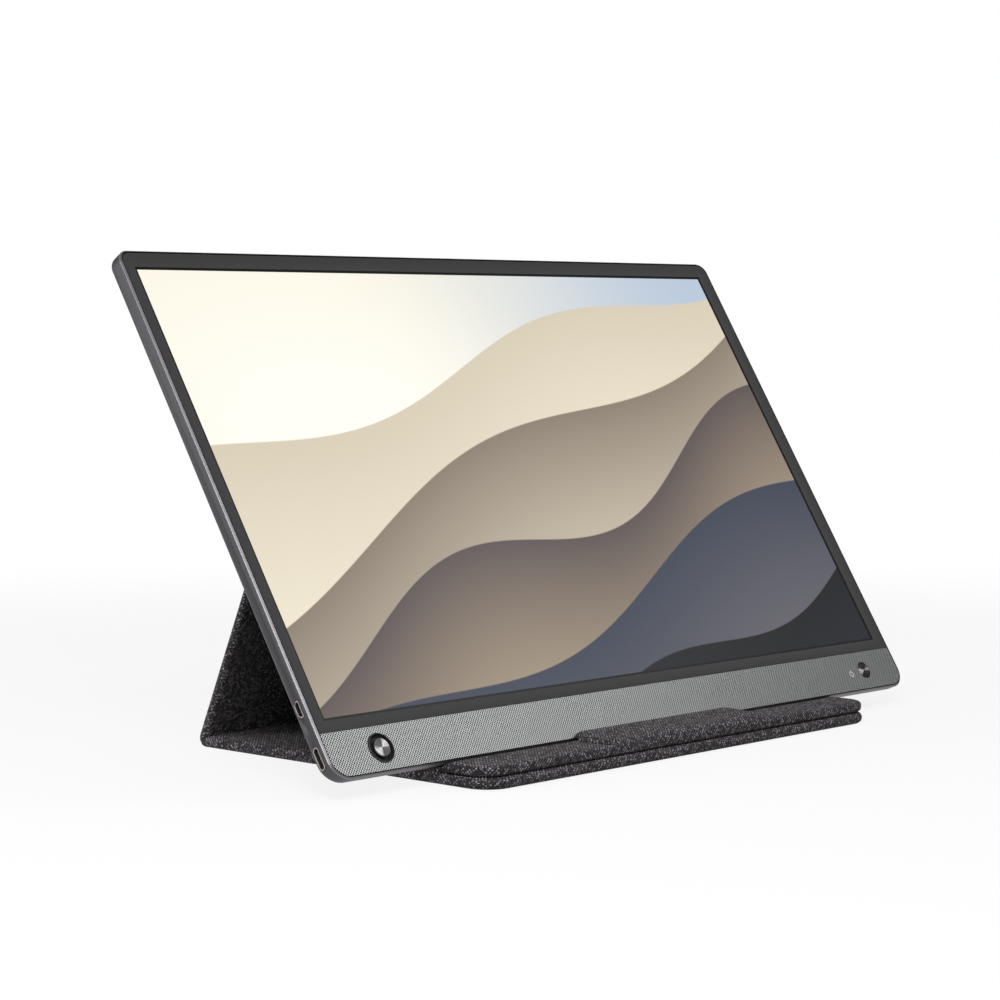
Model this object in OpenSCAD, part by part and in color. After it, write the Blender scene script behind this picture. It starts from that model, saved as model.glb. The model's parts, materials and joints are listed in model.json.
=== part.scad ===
// Portable monitor standing on its own folded fabric folio.
// X runs along the screen, Y to the rear, Z up. Z = 0 is the table, X = 0 the middle of the
// case and Y = 0 the middle of the stand's depth. Monitor pieces are drawn flat, with x along
// the case, y up the screen from the case's bottom edge and z out of the screen, and on_monitor()
// leans them back. Folio panels are drawn flat along y from the fold that they start at.

/* [Case] */
// Border of the case beside the picture
side_border = 7.75; // [7.5:0.05:10]
// Border of the case above the picture
top_border = 8.3; // [8:0.1:12]
// Thickness of the monitor's case
case_t = 8.4; // [8:0.1:12]
// Lean of the screen back from upright, in degrees
lean = 32; // [25:0.5:40]
// Corner radius at the top of the case
top_r = 5.5; // [4:0.1:9]
// Corner radius at the bottom of the case
bottom_r = 8.5; // [5:0.1:10]
// Rounding of the case's rear edges
back_r = 3.5; // [2:0.1:3.8]
// Bright chamfer between side wall and face
rim_chamfer = 0.9; // [0.5:0.1:1.2]
// Thickness of the case's side and back walls
wall = 0.9; // [0.7:0.05:1.2]
// Dark groove between the rim and the face
groove = 0.35; // [0.2:0.05:0.6]

/* [Face] */
// Thickness of the frame's plate round the screen
frame_t = 0.9; // [0.7:0.05:1.1]
// Depth of the screen behind the frame's face
screen_recess = 0.4; // [0.2:0.05:0.5]
// Top edge of the perforated strip above the case's bottom edge
strip_top = 19; // [18:0.1:21]
// Thickness of the perforated strip
grille_t = 0.6; // [0.5:0.05:1]
// Set-back of the perforated strip behind the frame's face
grille_set = 0.1; // [0:0.05:0.2]

/* [Screen] */
// Width of the picture
picture_w = 344.2; // [330:0.1:400]
// Height of the picture
picture_h = 193.6; // [170:0.1:230]
// Bottom of the picture above the case's bottom edge
picture_y = 24.5; // [24:0.1:25.5]
// Sideways place of the picture from the middle of the case
picture_x = -1.4; // [-1.5:0.1:1.5]
// Black border of the panel that shows round the picture
black_border = 0.65; // [0.3:0.05:1]
// How far the glass runs on behind the frame
glass_lap = 2; // [1:0.1:2.2]
// Thickness of the glass cell
glass_t = 0.9; // [0.7:0.05:1]
// Thickness of the diffuser sheets
diffuser_t = 0.2; // [0.1:0.05:0.25]
// Thickness of the light guide
guide_t = 0.6; // [0.4:0.05:0.65]
// Thickness of the reflector sheet
reflector_t = 0.15; // [0.1:0.05:0.2]
// Thickness of the panel's metal tray
tray_t = 0.3; // [0.2:0.05:0.35]

/* [Ports and boards] */
// Height of the USB-C port above the case's bottom edge
usb_y = 11.1; // [11:0.1:12.5]
// Height of the micro-HDMI port above the case's bottom edge
hdmi_y = 31.1; // [28:0.1:60]
// Depth of the ports' centre lines behind the face
port_z = 4.35; // [4.3:0.05:4.5]
// Length of the ports' metal shells
port_l = 7.4; // [6:0.1:9]
// Width of the USB-C shell's outside
usb_w = 8.9; // [8.8:0.05:9.1]
// Height of the USB-C shell's outside
usb_h = 3.0; // [2.8:0.05:3.1]
// Width of the micro-HDMI shell's outside
hdmi_w = 6.5; // [6:0.05:7]
// Height of the micro-HDMI shell's outside
hdmi_h = 2.8; // [2.5:0.05:2.85]
// Thickness of the ports' sheet metal
port_t = 0.3; // [0.2:0.05:0.4]
// Thickness of the circuit boards
board_t = 0.8; // [0.6:0.05:0.9]
// Length of the main board along the case
main_l = 112; // [90:1:130]
// Height of the main board up the case
main_h = 56; // [50:1:60]
// Length of the shield can
can_l = 40; // [25:1:50]
// Width of the shield can
can_w = 28; // [20:1:32]
// Length of a speaker
speaker_l = 36; // [25:1:40]
// Spacing of the speakers
speaker_pitch = 104; // [90:1:110]

/* [Controls] */
// Distance of the joystick from the case's left side
stick_in = 27.85; // [20:0.05:30]
// Distance of the power button from the case's right side
power_in = 25.85; // [18:0.05:30]
// Height of both controls above the case's bottom edge
control_y = 10.1; // [10:0.1:10.5]
// Outer diameter of the joystick's ring
ring_d = 12.2; // [11.5:0.1:14]
// Diameter of the joystick's well
well_d = 10; // [9.6:0.1:10.4]
// Diameter of the joystick's cap
cap_d = 7.6; // [6:0.1:8]
// How far the joystick's cap stands out of the face
cap_out = 0.7; // [0.3:0.1:1.2]
// Press travel of the joystick
stick_travel = 0.3; // [0.2:0.05:0.35]
// Diameter of the power button
power_d = 7.8; // [6:0.1:9]
// Press travel of the power button
power_travel = 0.3; // [0.2:0.05:0.4]

/* [Folio] */
// Width of the folded stand
stand_w = 245.5; // [220:0.5:300]
// Distance from the stand's front edge to the rear fold
base_l = 161.7; // [150:0.1:180]
// Length of the slanted panel from the foot fold to the apex fold
slant_l = 141; // [125:0.5:150]
// Distance from the stand's front edge to the screen's lower edge
lip_d = 21.5; // [20:0.5:28]
// Thickness of a padded panel
panel_t = 4.6; // [4:0.1:6]
// Plan radius of the stand's free corners
free_r = 12; // [8:0.5:15]
// Plan radius of the corners at the folds
fold_r = 3.2; // [3.1:0.1:8]
// Thickness of the stiffening board in a panel
stiff_t = 2; // [1.6:0.1:2.2]
// Margin of the stiffening board inside a panel's edge
stiff_margin = 7; // [6.5:0.5:10]
// Thickness of the thin web under the monitor
web_t = 1; // [0.8:0.1:1.2]
// Set-back of the upper layer from the stand's front edge
lip_step = 1; // [0.5:0.1:2]

/* [Tongue] */
// Width of the tongue at its fold
tongue_w = 103; // [80:1:120]
// Taper of the tongue's free edge, each side
tongue_taper = 1; // [0:0.5:4]
// How far the tongue's top stops short of each sloping end
tongue_slope = 4; // [2:0.5:6]
// Thickness of the tongue against the screen
tongue_t = 3; // [2.6:0.1:3.4]
// Thickness of the tongue beside its fold
tongue_front_t = 1.6; // [1.4:0.1:2.4]
// Thickness of the tongue's stiffener
tongue_stiff_t = 1; // [0.6:0.1:1.4]

/* [Magnets] */
// Length of a magnet
magnet_l = 18; // [12:1:24]
// Width of a magnet
magnet_w = 8; // [6:0.5:8]
// Thickness of a magnet
magnet_t = 1.2; // [0.8:0.1:1.5]
// Spacing of the magnets along the folds
magnet_pitch = 58; // [50:1:62]

/* [Hidden] */

$fn = 48;
hull_fn = 32;          // facets of a hull's round corners
edge_fn = 16;          // facets of a padded edge
fit = 0.05;            // clearance between stacked pieces
running = 0.1;         // clearance between moving pieces
rest_gap = 0.3;        // gap between the monitor and the fabric
cut = 1;               // how far a cutter runs past a face

// depths of the stack behind the face, as heights on z
glass_z = -screen_recess - glass_t - fit;
diffuser_z = glass_z - diffuser_t;
guide_z = diffuser_z - guide_t;
reflector_z = guide_z - reflector_t;
tray_z = reflector_z - tray_t;
floor_z = -case_t + wall;
back_pad = 0.5;        // pads that hold the boards off the case's back
board_z = floor_z + back_pad;
board_top = board_z + board_t;

// outlines on the face
case_w = picture_w + 2 * side_border;
case_h = picture_y + picture_h + top_border;
stick_x = case_w / 2 - stick_in;
power_x = case_w / 2 - power_in;
glass_w = picture_w + 2 * (black_border + glass_lap);
glass_y0 = strip_top + 1.5;
glass_y1 = picture_y + picture_h + black_border + glass_lap;
glass_h = glass_y1 - glass_y0;
tray_gap = 0.3;        // side clearance of the glass in its tray
tray_w = glass_w + 2 * (tray_gap + tray_t);
tray_y0 = glass_y0 - tray_gap - tray_t;
tray_y1 = glass_y1 + tray_gap + tray_t;
window_w = picture_w + 2 * black_border;
window_h = picture_h + 2 * black_border;
face_in = wall + groove;

// ribs and posts of the case
rib_t = 1.2;
rib_y1 = strip_top + rib_t / 2;
post_r = 1.55;
screw_r = 0.8;
screw_head_r = 1.3;
screw_head_t = 0.45;
ear_y = tray_y1 + post_r;
ear_xs = [for (i = [-1.5:1:1.5]) picture_x + i * tray_w / 4];
board_margin = 3.5;    // board screws from the board's edges

// main board and its ports
main_inset = 3;        // main board from the groove's inner side
main_x0 = -case_w / 2 + wall + groove + main_inset;
main_y0 = 4.5;
port_x0 = -case_w / 2 + 0.2;
led_w = 2;
timing_l = 240;
timing_w = 10;
timing_x = 30;
timing_t = 0.5;
timing_y0 = picture_y + 12;
flex_w = 16;
flex_t = 0.25;
flex_in = 24;          // ribbon's near side from the main board's end
flex_y = 22;           // ribbon's foot above the main board's edge
flex_foot = 4;         // ribbon's overlap on each board
can_x = 45;
can_y = 20;
can_h = 1.4;
can_wall = 0.2;
speaker_mid = 32;
speaker_xs = [for (s = [-1, 1]) speaker_mid + s * speaker_pitch / 2];
speaker_low = 2.7;     // speaker above the case's lower wall
speaker_high = 2.4;    // speaker below the strip's top
stop_gap = 1;          // gap between a speaker and the ribs beside it
power_board_l = 18;
power_board_w = 12.8;

// joystick: gimbal centre and sizes
pivot_z = board_top + 1.2;
switch_w = 7.6;
nav_board_r = 6.4;
switch_top = pivot_z + 1;
bore_r = 3;
gimbal_r = bore_r - running;
gimbal_h = 0.9;
hub_r = 2;
hub_hole_r = hub_r + 0.15;
hub_top = pivot_z + 1.1;
pin_r = 0.28;
pin_hole_r = pin_r + 0.05;
stem_r = 0.9;
stem_hole_r = stem_r + 0.06;
well_floor_z = -1.9;
ring_body_r = ring_d / 2 - 0.6;
ring_out = 0.35;
cap_t = 1.1;
stem_z = pivot_z + 0.55;

// power button
button_hole_r = power_d / 2 + 0.15;
flange_r = button_hole_r + 0.6;
flange_t = 0.5;
flange_top = -grille_set - grille_t - fit;
button_stem_r = 1.2;
plunger_top = board_top + 2;
tact_w = 4.5;

// the stand's side view: each point is [y, z]
half_t = panel_t / 2;
depth = base_l + half_t - fit;
front_y = -depth / 2;
rear_axis = [front_y + base_l, half_t];
low_drop = back_r * cos(lean) - (case_t - back_r) * sin(lean) - back_r;
face_at = [front_y + lip_d, panel_t + web_t + 0.2 - low_drop];
slant_n = case_t + rest_gap + half_t;
foot_z = panel_t + web_t / 2;
foot_v = (foot_z - face_at[1] + slant_n * sin(lean)) / cos(lean);
foot_axis = [face_at[0] + foot_v * sin(lean) + slant_n * cos(lean), foot_z];
apex_axis = foot_axis + slant_l * [sin(lean), cos(lean)];
prop_v = apex_axis - rear_axis;
prop_l = norm(prop_v);
prop_angle = atan2(prop_v[1], prop_v[0]);
fold_gap = half_t + fit;          // panel end to fold axis
apex_relief = 3.5 * panel_t / 4.6; // slanted panel's upper end to the apex fold
foot_relief = 1.3 * panel_t / 4.6; // slanted panel's lower end to the foot fold
fold_roll_r = half_t - fit;
roll_inset = 1.6;                 // fold rolls stop short of the panels' sides

// upper layer and tongue
lip_y0 = front_y + lip_step;
lip_tail_n = (panel_t + web_t + rest_gap * cos(lean) - face_at[1]) / sin(lean);
lip_y1 = face_at[0] - rest_gap * sin(lean) - lip_tail_n * cos(lean);  // end of the sloping tail
lip_l = lip_y1 - lip_y0;
plate_y = 10.5;        // middle of the steel plate from the layer's front
lip_z = 1.5 * panel_t;
lip_top = 2 * panel_t;
tongue_axis = [lip_y0 + 0.5, lip_top + 0.2];
tongue_y0 = tongue_axis[0] + 0.8;
tongue_low_l = face_at[0] + (lip_top - face_at[1]) * tan(lean) - rest_gap / cos(lean) - tongue_y0;
tongue_l = tongue_low_l + tongue_t * tan(lean);
tongue_r = 3;          // plan radius of the tongue's corners
tongue_edge = 0.5;     // height of the tongue's blunt rim
tongue_knuckle_r = 0.7;
tongue_margin = 6;     // margin of the tongue's stiffener
tongue_skin = 0.3;     // fabric under the tongue's stiffener
tongue_end = 4;        // tongue's fold stops short of its sides
plate_w = 10;
plate_t = 0.8;
hold_t = 0.5;
hold_w = 14;
hold_gap = 4;
slant_rows = [30, 100];           // magnet rows, from the foot fold

fabric = "#3b393d";
fabric_dark = "#232226";
metal_case = "#5c5a5f";
board_green = "#1f4a33";

module on_monitor() {
    translate([0, face_at[0], face_at[1]]) rotate([90 - lean, 0, 0]) children();
}

module along(point, angle) {
    translate([0, point[0], point[1]]) rotate([angle, 0, 0]) children();
}

// a bar along x from x0 to x1
module bar_x(r, x0, x1) {
    translate([x0, 0, 0]) rotate([0, 90, 0]) cylinder(r = r, h = x1 - x0);
}

// block from corner to corner
module block(low, high) {
    translate(low) cube(high - low);
}

// ---- outlines of the face: top and bottom corners differ ----
module face_outline(inset) {
    tr = top_r - inset;
    br = bottom_r - inset;
    x = case_w / 2 - inset;
    union() {
        translate([-x, inset + br]) square([2 * x, case_h - 2 * inset - tr - br]);
        translate([-x + br, inset]) square([2 * (x - br), case_h / 2]);
        translate([-x + tr, case_h / 2]) square([2 * (x - tr), case_h / 2 - inset]);
        for (s = [-1, 1]) {
            translate([s * (x - br), inset + br]) circle(r = br);
            translate([s * (x - tr), case_h - inset - tr]) circle(r = tr);
        }
    }
}

// solid of the case's outside, moved in by inset on the sides and back
module case_body(inset, front_z, chamfer) {
    x = case_w / 2;
    hull() for (s = [-1, 1]) {
        translate([s * (x - bottom_r), bottom_r, 0])
            case_corner(bottom_r - inset, inset, front_z, chamfer);
        translate([s * (x - top_r), case_h - top_r, 0])
            case_corner(top_r - inset, inset, front_z, chamfer);
    }
}

module case_corner(r, inset, front_z, chamfer) {
    round_r = back_r - inset;
    z0 = -case_t + inset;
    rotate_extrude($fn = hull_fn)
        polygon(concat(
            [[0, z0]],
            [for (a = [0:15:90]) [r - round_r + round_r * sin(a), z0 + round_r - round_r * cos(a)]],
            [[r, front_z - chamfer], [r - chamfer, front_z], [0, front_z]]));
}

// bar along x, the outside of a port: a stadium, or keyed by two slanting rear corners
module port_bar(w, h, x0, x1, keyed) {
    translate([x0, 0, 0]) rotate([90, 0, 90]) linear_extrude(x1 - x0)
        if (keyed)
            polygon([[-w / 2 + 0.15 * h, h / 2], [-w / 2, 0.35 * h], [-w / 2, -0.05 * h],
                     [-w / 2 + 0.45 * h, -h / 2], [w / 2 - 0.45 * h, -h / 2],
                     [w / 2, -0.05 * h], [w / 2, 0.35 * h], [w / 2 - 0.15 * h, h / 2]]);
        else union() {
            square([w - h, h], center = true);
            for (s = [-1, 1]) translate([s * (w - h) / 2, 0]) circle(d = h);
        }
}

// ---- monitor: shells and face ----
module rear_shell() {
    color(metal_case) on_monitor() {
        difference() {
            case_body(0, 0, rim_chamfer);
            case_body(wall, cut, 0);
            translate([0, usb_y, -port_z])
                port_bar(usb_w + 0.2, usb_h + 0.2, -case_w / 2 - cut, -case_w / 2 + 3, false);
            translate([0, hdmi_y, -port_z])
                port_bar(hdmi_w + 0.2, hdmi_h + 0.2, -case_w / 2 - cut, -case_w / 2 + 3, true);
        }
        shell_ribs();
        shell_posts();
    }
}

// ribs that carry the frame, the strip and the panel's tray
module shell_ribs() {
    x = case_w / 2 - bottom_r;
    rib_y0 = rib_y1 - rib_t;
    block([main_x0 + main_l + 1, rib_y0, floor_z], [x, rib_y1 - 0.7, -frame_t - fit]);
    for (rib_x = [-case_w / 2 + 28, case_w / 2 - 28])
        block([rib_x, main_y0 + main_h + 3, floor_z], [rib_x + rib_t, glass_y1 - 8, tray_z - fit]);
    block([-rib_t / 2, case_h * 0.66, floor_z], [rib_t / 2, glass_y1 - 8, tray_z - fit]);
    for (mid = speaker_xs) for (s = [-1, 1])
        translate([mid + s * (speaker_l / 2 + stop_gap + rib_t / 2), 0, 0])
            block([-rib_t / 2, wall + speaker_low, floor_z], [rib_t / 2, rib_y0, flange_top]);
}

module shell_posts() {
    for (x = ear_xs) translate([x, ear_y, floor_z]) difference() {
        cylinder(r = post_r, h = tray_z - floor_z);
        translate([0, 0, 1.2]) cylinder(r = screw_r + fit, h = case_t);
    }
    for (p = board_holes()) translate([p[0], p[1], floor_z]) difference() {
        cylinder(r = 2, h = back_pad);
        translate([0, 0, 0.1]) cylinder(r = screw_r + fit, h = cut);
    }
}

module front_frame() {
    color("#444445") on_monitor() difference() {
        union() {
            translate([0, 0, -frame_t]) linear_extrude(frame_t) face_outline(face_in);
            translate([0, 0, -2.3]) linear_extrude(2.3) difference() {
                face_outline(face_in);
                face_outline(face_in + 0.8);
            }
        }
        block([-case_w, -cut, -case_t], [case_w, strip_top, cut]);
        block([picture_x - window_w / 2, picture_y - black_border, -case_t],
              [picture_x + window_w / 2, picture_y - black_border + window_h, cut]);
        block([picture_x - tray_w / 2 - fit, tray_y0 - fit, -case_t],
              [picture_x + tray_w / 2 + fit, tray_y1 + fit, -screen_recess]);
        for (x = ear_xs) translate([x, ear_y, -case_t])
            cylinder(r = post_r + 0.2, h = case_t - frame_t + 0.2);
    }
}

module grille_strip() {
    color("#a3a5a4") on_monitor() difference() {
        translate([0, 0, -grille_set - grille_t]) linear_extrude(grille_t)
            intersection() {
                face_outline(face_in);
                translate([-case_w / 2, 0]) square([case_w, strip_top - fit]);
            }
        translate([-stick_x, control_y, -case_t]) cylinder(r = ring_body_r + fit, h = 2 * case_t);
        translate([power_x, control_y, -case_t]) cylinder(r = button_hole_r, h = 2 * case_t);
    }
}

// ---- monitor: display panel ----
module sheet(z0, thick, margin) {
    block([picture_x - glass_w / 2 + margin, glass_y0 + margin, z0],
          [picture_x + glass_w / 2 - margin, glass_y1 - margin, z0 + thick]);
}

module lcd_cell() {
    color("#101214") on_monitor() sheet(glass_z, glass_t, 0);
}

module diffuser_sheets() {
    color("#f2f2ee") on_monitor() sheet(diffuser_z, diffuser_t, 1);
}

module light_guide() {
    color("#dfe8ea") on_monitor() difference() {
        sheet(guide_z, guide_t, 1);
        block([-case_w, 0, -case_t], [case_w, glass_y0 + 1 + led_w, 0]);
    }
}

module reflector_sheet() {
    color("#f7f7f7") on_monitor() sheet(reflector_z, reflector_t, 1);
}

module led_bar() {
    color("#e8e2c0") on_monitor()
        block([picture_x - glass_w / 2 + 2, glass_y0 + 1, guide_z],
              [picture_x + glass_w / 2 - 2, glass_y0 + 1 + led_w - fit, guide_z + guide_t]);
}

module panel_tray() {
    x = tray_w / 2;
    color("#8d9093") on_monitor() {
        difference() {
            block([picture_x - x, tray_y0, tray_z], [picture_x + x, tray_y1, glass_z + glass_t / 2]);
            block([picture_x - x + tray_t, tray_y0 + tray_t, tray_z + tray_t],
                  [picture_x + x - tray_t, tray_y1 - tray_t, cut]);
        }
        for (ex = ear_xs) difference() {
            block([ex - post_r, tray_y1 - fit, tray_z],
                  [ex + post_r, ear_y + post_r, tray_z + tray_t]);
            translate([ex, ear_y, -case_t]) cylinder(r = screw_r + fit, h = case_t);
        }
    }
}

module timing_board() {
    color(board_green) on_monitor()
        block([timing_x - timing_l / 2, timing_y0, tray_z - timing_t],
              [timing_x + timing_l / 2, timing_y0 + timing_w, tray_z]);
}

// ---- monitor: electronics ----
function board_holes() = [
    for (x = [main_x0 + 12, main_x0 + main_l - board_margin])
        for (y = [main_y0 + main_h - board_margin]) [x, y],
    [main_x0 + main_l - board_margin, main_y0 + board_margin]
];

module main_board() {
    color(board_green) on_monitor() difference() {
        block([main_x0, main_y0, board_z], [main_x0 + main_l, main_y0 + main_h, board_top]);
        for (p = board_holes()) translate([p[0], p[1], -case_t])
            cylinder(r = screw_r + fit, h = case_t);
        translate([-stick_x, control_y, -case_t]) cylinder(r = nav_board_r + 1, h = case_t);
    }
}

module shield_can() {
    color("#b9bcbe") on_monitor() translate([main_x0 + can_x, main_y0 + can_y, board_top])
        difference() {
            cube([can_l, can_w, can_h]);
            block([can_wall, can_wall, -cut],
                  [can_l - can_wall, can_w - can_wall, can_h - can_wall]);
        }
}

// flat ribbon from the main board up to the board behind the panel
module display_flex() {
    x0 = main_x0 + main_l - flex_in;
    y0 = main_y0 + flex_y;
    bend_y = y0 + flex_foot;
    top = tray_z - timing_t;
    color("#c98b3a") on_monitor() {
        block([x0, y0, board_top], [x0 + flex_w, bend_y, board_top + flex_t]);
        block([x0, bend_y - flex_t, board_top], [x0 + flex_w, bend_y, top]);
        block([x0, bend_y - flex_t, top - flex_t], [x0 + flex_w, timing_y0 + 2 * flex_foot, top]);
    }
}

module port_shell(y, w, h, keyed) {
    on_monitor() translate([0, y, -port_z]) difference() {
        port_bar(w, h, port_x0, port_x0 + port_l, keyed);
        port_bar(w - 2 * port_t, h - 2 * port_t, port_x0 - cut, port_x0 + port_l - 0.6, keyed);
    }
}

module port_tongue(y, w, thick) {
    on_monitor() block([port_x0 + 1, y - w / 2, -port_z - thick / 2],
                       [port_x0 + port_l - 0.6, y + w / 2, -port_z + thick / 2]);
}

module usb_c_shell() { color("#c8c4b8") port_shell(usb_y, usb_w, usb_h, false); }
module usb_c_tongue() { color("#17171a") port_tongue(usb_y, usb_w - 2.3, 0.7); }
module micro_hdmi_shell() { color("#c8c4b8") port_shell(hdmi_y, hdmi_w, hdmi_h, true); }
module micro_hdmi_tongue() { color("#17171a") port_tongue(hdmi_y, hdmi_w - 2.2, 0.6); }

module speakers() {
    color("#1a1a1c") on_monitor() for (x = speaker_xs)
        block([x - speaker_l / 2, wall + speaker_low, floor_z],
              [x + speaker_l / 2, strip_top - speaker_high, flange_top]);
}

module holding_plates() {
    reach = magnet_pitch * 1.5 + magnet_l / 2;
    color("#9b9ea1") on_monitor() for (row = slant_rows) {
        y = foot_v + row;
        beside_board = y - hold_w / 2 < main_y0 + main_h;
        block([beside_board ? main_x0 + main_l + hold_gap : -reach, y - hold_w / 2, floor_z],
              [reach, y + hold_w / 2, floor_z + hold_t]);
    }
}

module screw(depth) {
    cylinder(r = screw_head_r, h = screw_head_t);
    translate([0, 0, -depth]) cylinder(r = screw_r, h = depth);
}

module screws() {
    color("#2c2c2e") on_monitor() {
        for (x = ear_xs) translate([x, ear_y, tray_z + tray_t]) screw(2.4);
        for (p = board_holes()) translate([p[0], p[1], board_top]) screw(board_t + 0.3);
    }
}

// ---- joystick: ring, switch, gimbal, hub and cap ----
module at_stick() {
    on_monitor() translate([-stick_x, control_y, 0]) children();
}

module nav_ring() {
    color("#333336") at_stick() rotate_extrude() polygon([
        [stem_r + 1, well_floor_z], [ring_body_r, well_floor_z], [ring_body_r, -grille_set],
        [ring_d / 2, -grille_set], [ring_d / 2 - 0.2, ring_out], [well_d / 2 + 0.1, ring_out],
        [well_d / 2, ring_out - 0.3], [well_d / 2, well_floor_z + 0.4],
        [stem_r + 1, well_floor_z + 0.4]
    ]);
}

module nav_board() {
    color(board_green) at_stick() translate([0, 0, floor_z])
        cylinder(r = nav_board_r, h = board_top - floor_z);
}

module nav_switch_base() {
    w = switch_w / 2;
    color("#141416") at_stick() difference() {
        block([-w, -w, board_top], [w, w, switch_top]);
        translate([0, 0, board_top + 0.3]) cylinder(r = bore_r, h = case_t);
        translate([0, 0, pivot_z]) bar_x(pin_hole_r, -bore_r - 0.5, bore_r + 0.5);
    }
}

// outer ring of the gimbal, turning on pins along x
module nav_gimbal() {
    color("#8a8a8e") at_stick() translate([0, 0, pivot_z]) {
        difference() {
            translate([0, 0, -gimbal_h / 2]) cylinder(r = gimbal_r, h = gimbal_h);
            translate([0, 0, -case_t / 2]) cylinder(r = hub_hole_r, h = case_t);
            rotate([0, 0, 90]) bar_x(pin_hole_r, -gimbal_r - cut, gimbal_r + cut);
        }
        bar_x(pin_r, -gimbal_r - 0.4, -hub_hole_r - 0.1);
        bar_x(pin_r, hub_hole_r + 0.1, gimbal_r + 0.4);
    }
}

// inner hub of the gimbal, turning on pins up the screen
module nav_hub() {
    color("#6d6d72") at_stick() difference() {
        union() {
            translate([0, 0, pivot_z - gimbal_h / 2]) cylinder(r = hub_r, h = hub_top - pivot_z + gimbal_h / 2);
            translate([0, 0, pivot_z]) rotate([0, 0, 90]) bar_x(pin_r, -gimbal_r + 0.15, gimbal_r - 0.15);
        }
        translate([0, 0, stem_z - stick_travel - fit]) cylinder(r = stem_hole_r, h = case_t);
    }
}

module nav_cap() {
    color("#85858a") at_stick() {
        translate([0, 0, stem_z]) cylinder(r = stem_r, h = cap_out - cap_t - stem_z + 0.2);
        translate([0, 0, cap_out - cap_t]) cylinder(d1 = cap_d - 0.6, d2 = cap_d, h = 0.5);
        translate([0, 0, cap_out - cap_t + 0.5]) cylinder(d = cap_d, h = cap_t - 0.8);
        translate([0, 0, cap_out - 0.3]) cylinder(d1 = cap_d, d2 = cap_d - 0.5, h = 0.3);
    }
}

// ---- power button ----
module at_power() {
    on_monitor() translate([power_x, control_y, 0]) children();
}

module power_board() {
    color(board_green) at_power()
        block([-power_board_l / 2, -power_board_w / 2, floor_z],
              [power_board_l / 2, power_board_w / 2, board_top]);
}

module power_switch() {
    w = tact_w / 2;
    color("#222224") at_power() {
        block([-w, -w, board_top], [w, w, plunger_top - 0.4]);
        translate([0, 0, plunger_top - 0.5]) cylinder(r = 1, h = 0.5);
    }
}

module power_button() {
    color("#4e4d50") at_power() {
        translate([0, 0, flange_top - flange_t]) cylinder(r = flange_r, h = flange_t);
        translate([0, 0, flange_top - fit]) cylinder(d = power_d, h = -flange_top + fit + 0.1);
        stem_low = plunger_top + power_travel + fit;
        translate([0, 0, stem_low]) cylinder(r = button_stem_r, h = flange_top - flange_t - stem_low + fit);
    }
}

// ---- folio panels ----
// padded panel with full-round edges, from y = 0 to y = l
module pad(w, l, t, near_r, far_r) {
    hull() for (side = [0, 1]) mirror([side, 0, 0]) {
        translate([w / 2 - near_r, near_r, 0]) pad_corner(near_r, t, -90);
        translate([w / 2 - far_r, l - far_r, 0]) pad_corner(far_r, t, 0);
    }
}

// quarter of a round edge, from the angle start
module pad_corner(r, t, start) {
    rotate([0, 0, start]) rotate_extrude(angle = 90, $fn = hull_fn) intersection() {
        translate([r - t / 2, 0]) circle(d = t, $fn = edge_fn);
        translate([0, -t]) square([r, 2 * t]);
    }
}

module stiffener(w, l) {
    block([-w / 2 + stiff_margin, stiff_margin, -stiff_t / 2],
          [w / 2 - stiff_margin, l - stiff_margin, stiff_t / 2]);
}

// a row of magnets across the panel, let into the stiffener's face
module magnet_row(y) {
    for (i = [-1.5:1:1.5])
        translate([i * magnet_pitch, y, stiff_t / 2 - magnet_t / 2])
            cube([magnet_l, magnet_w, magnet_t], center = true);
}

// frames of the four panels, each along y from its first fold
module on_base() { along([front_y, half_t], 0) children(); }
module on_prop() { along(rear_axis, prop_angle) translate([0, fold_gap, 0]) children(); }
module on_slant() { along(foot_axis, 90 - lean) translate([0, foot_relief, 0]) children(); }
module on_lip() { along([lip_y0, lip_z], 0) children(); }

base_pad_l = base_l - fold_gap;
prop_pad_l = prop_l - 2 * fold_gap;
slant_pad_l = slant_l - foot_relief - apex_relief;
magnet_inset = stiff_margin + magnet_w;

module base_sleeve() {
    color(fabric) on_base() difference() {
        pad(stand_w, base_pad_l, panel_t, free_r, fold_r);
        stiffener(stand_w, base_pad_l);
    }
}

module base_stiffener() {
    color("#6b6258") on_base() difference() {
        stiffener(stand_w, base_pad_l);
        magnet_row(magnet_inset);
    }
}

module base_magnets() {
    color("#c9ccd0") on_base() magnet_row(magnet_inset);
}

module rear_fold() {
    color(fabric) along(rear_axis, 0)
        bar_x(fold_roll_r, -stand_w / 2 + roll_inset, stand_w / 2 - roll_inset);
}

module prop_sleeve() {
    color(fabric_dark) on_prop() difference() {
        pad(stand_w, prop_pad_l, panel_t, fold_r, fold_r);
        stiffener(stand_w, prop_pad_l);
    }
}

module prop_stiffener() {
    color("#6b6258") on_prop() stiffener(stand_w, prop_pad_l);
}

module apex_fold() {
    color(fabric) along(apex_axis, 0)
        bar_x(fold_roll_r, -stand_w / 2 + roll_inset, stand_w / 2 - roll_inset);
}

module slant_sleeve() {
    color(fabric_dark) on_slant() difference() {
        pad(stand_w, slant_pad_l, panel_t, fold_r, fold_r);
        stiffener(stand_w, slant_pad_l);
    }
}

module slant_rows_of_magnets() {
    for (row = slant_rows) magnet_row(row - foot_relief);
}

module slant_stiffener() {
    color("#6b6258") on_slant() difference() {
        stiffener(stand_w, slant_pad_l);
        slant_rows_of_magnets();
    }
}

module slant_magnets() {
    color("#c9ccd0") on_slant() slant_rows_of_magnets();
}

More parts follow.
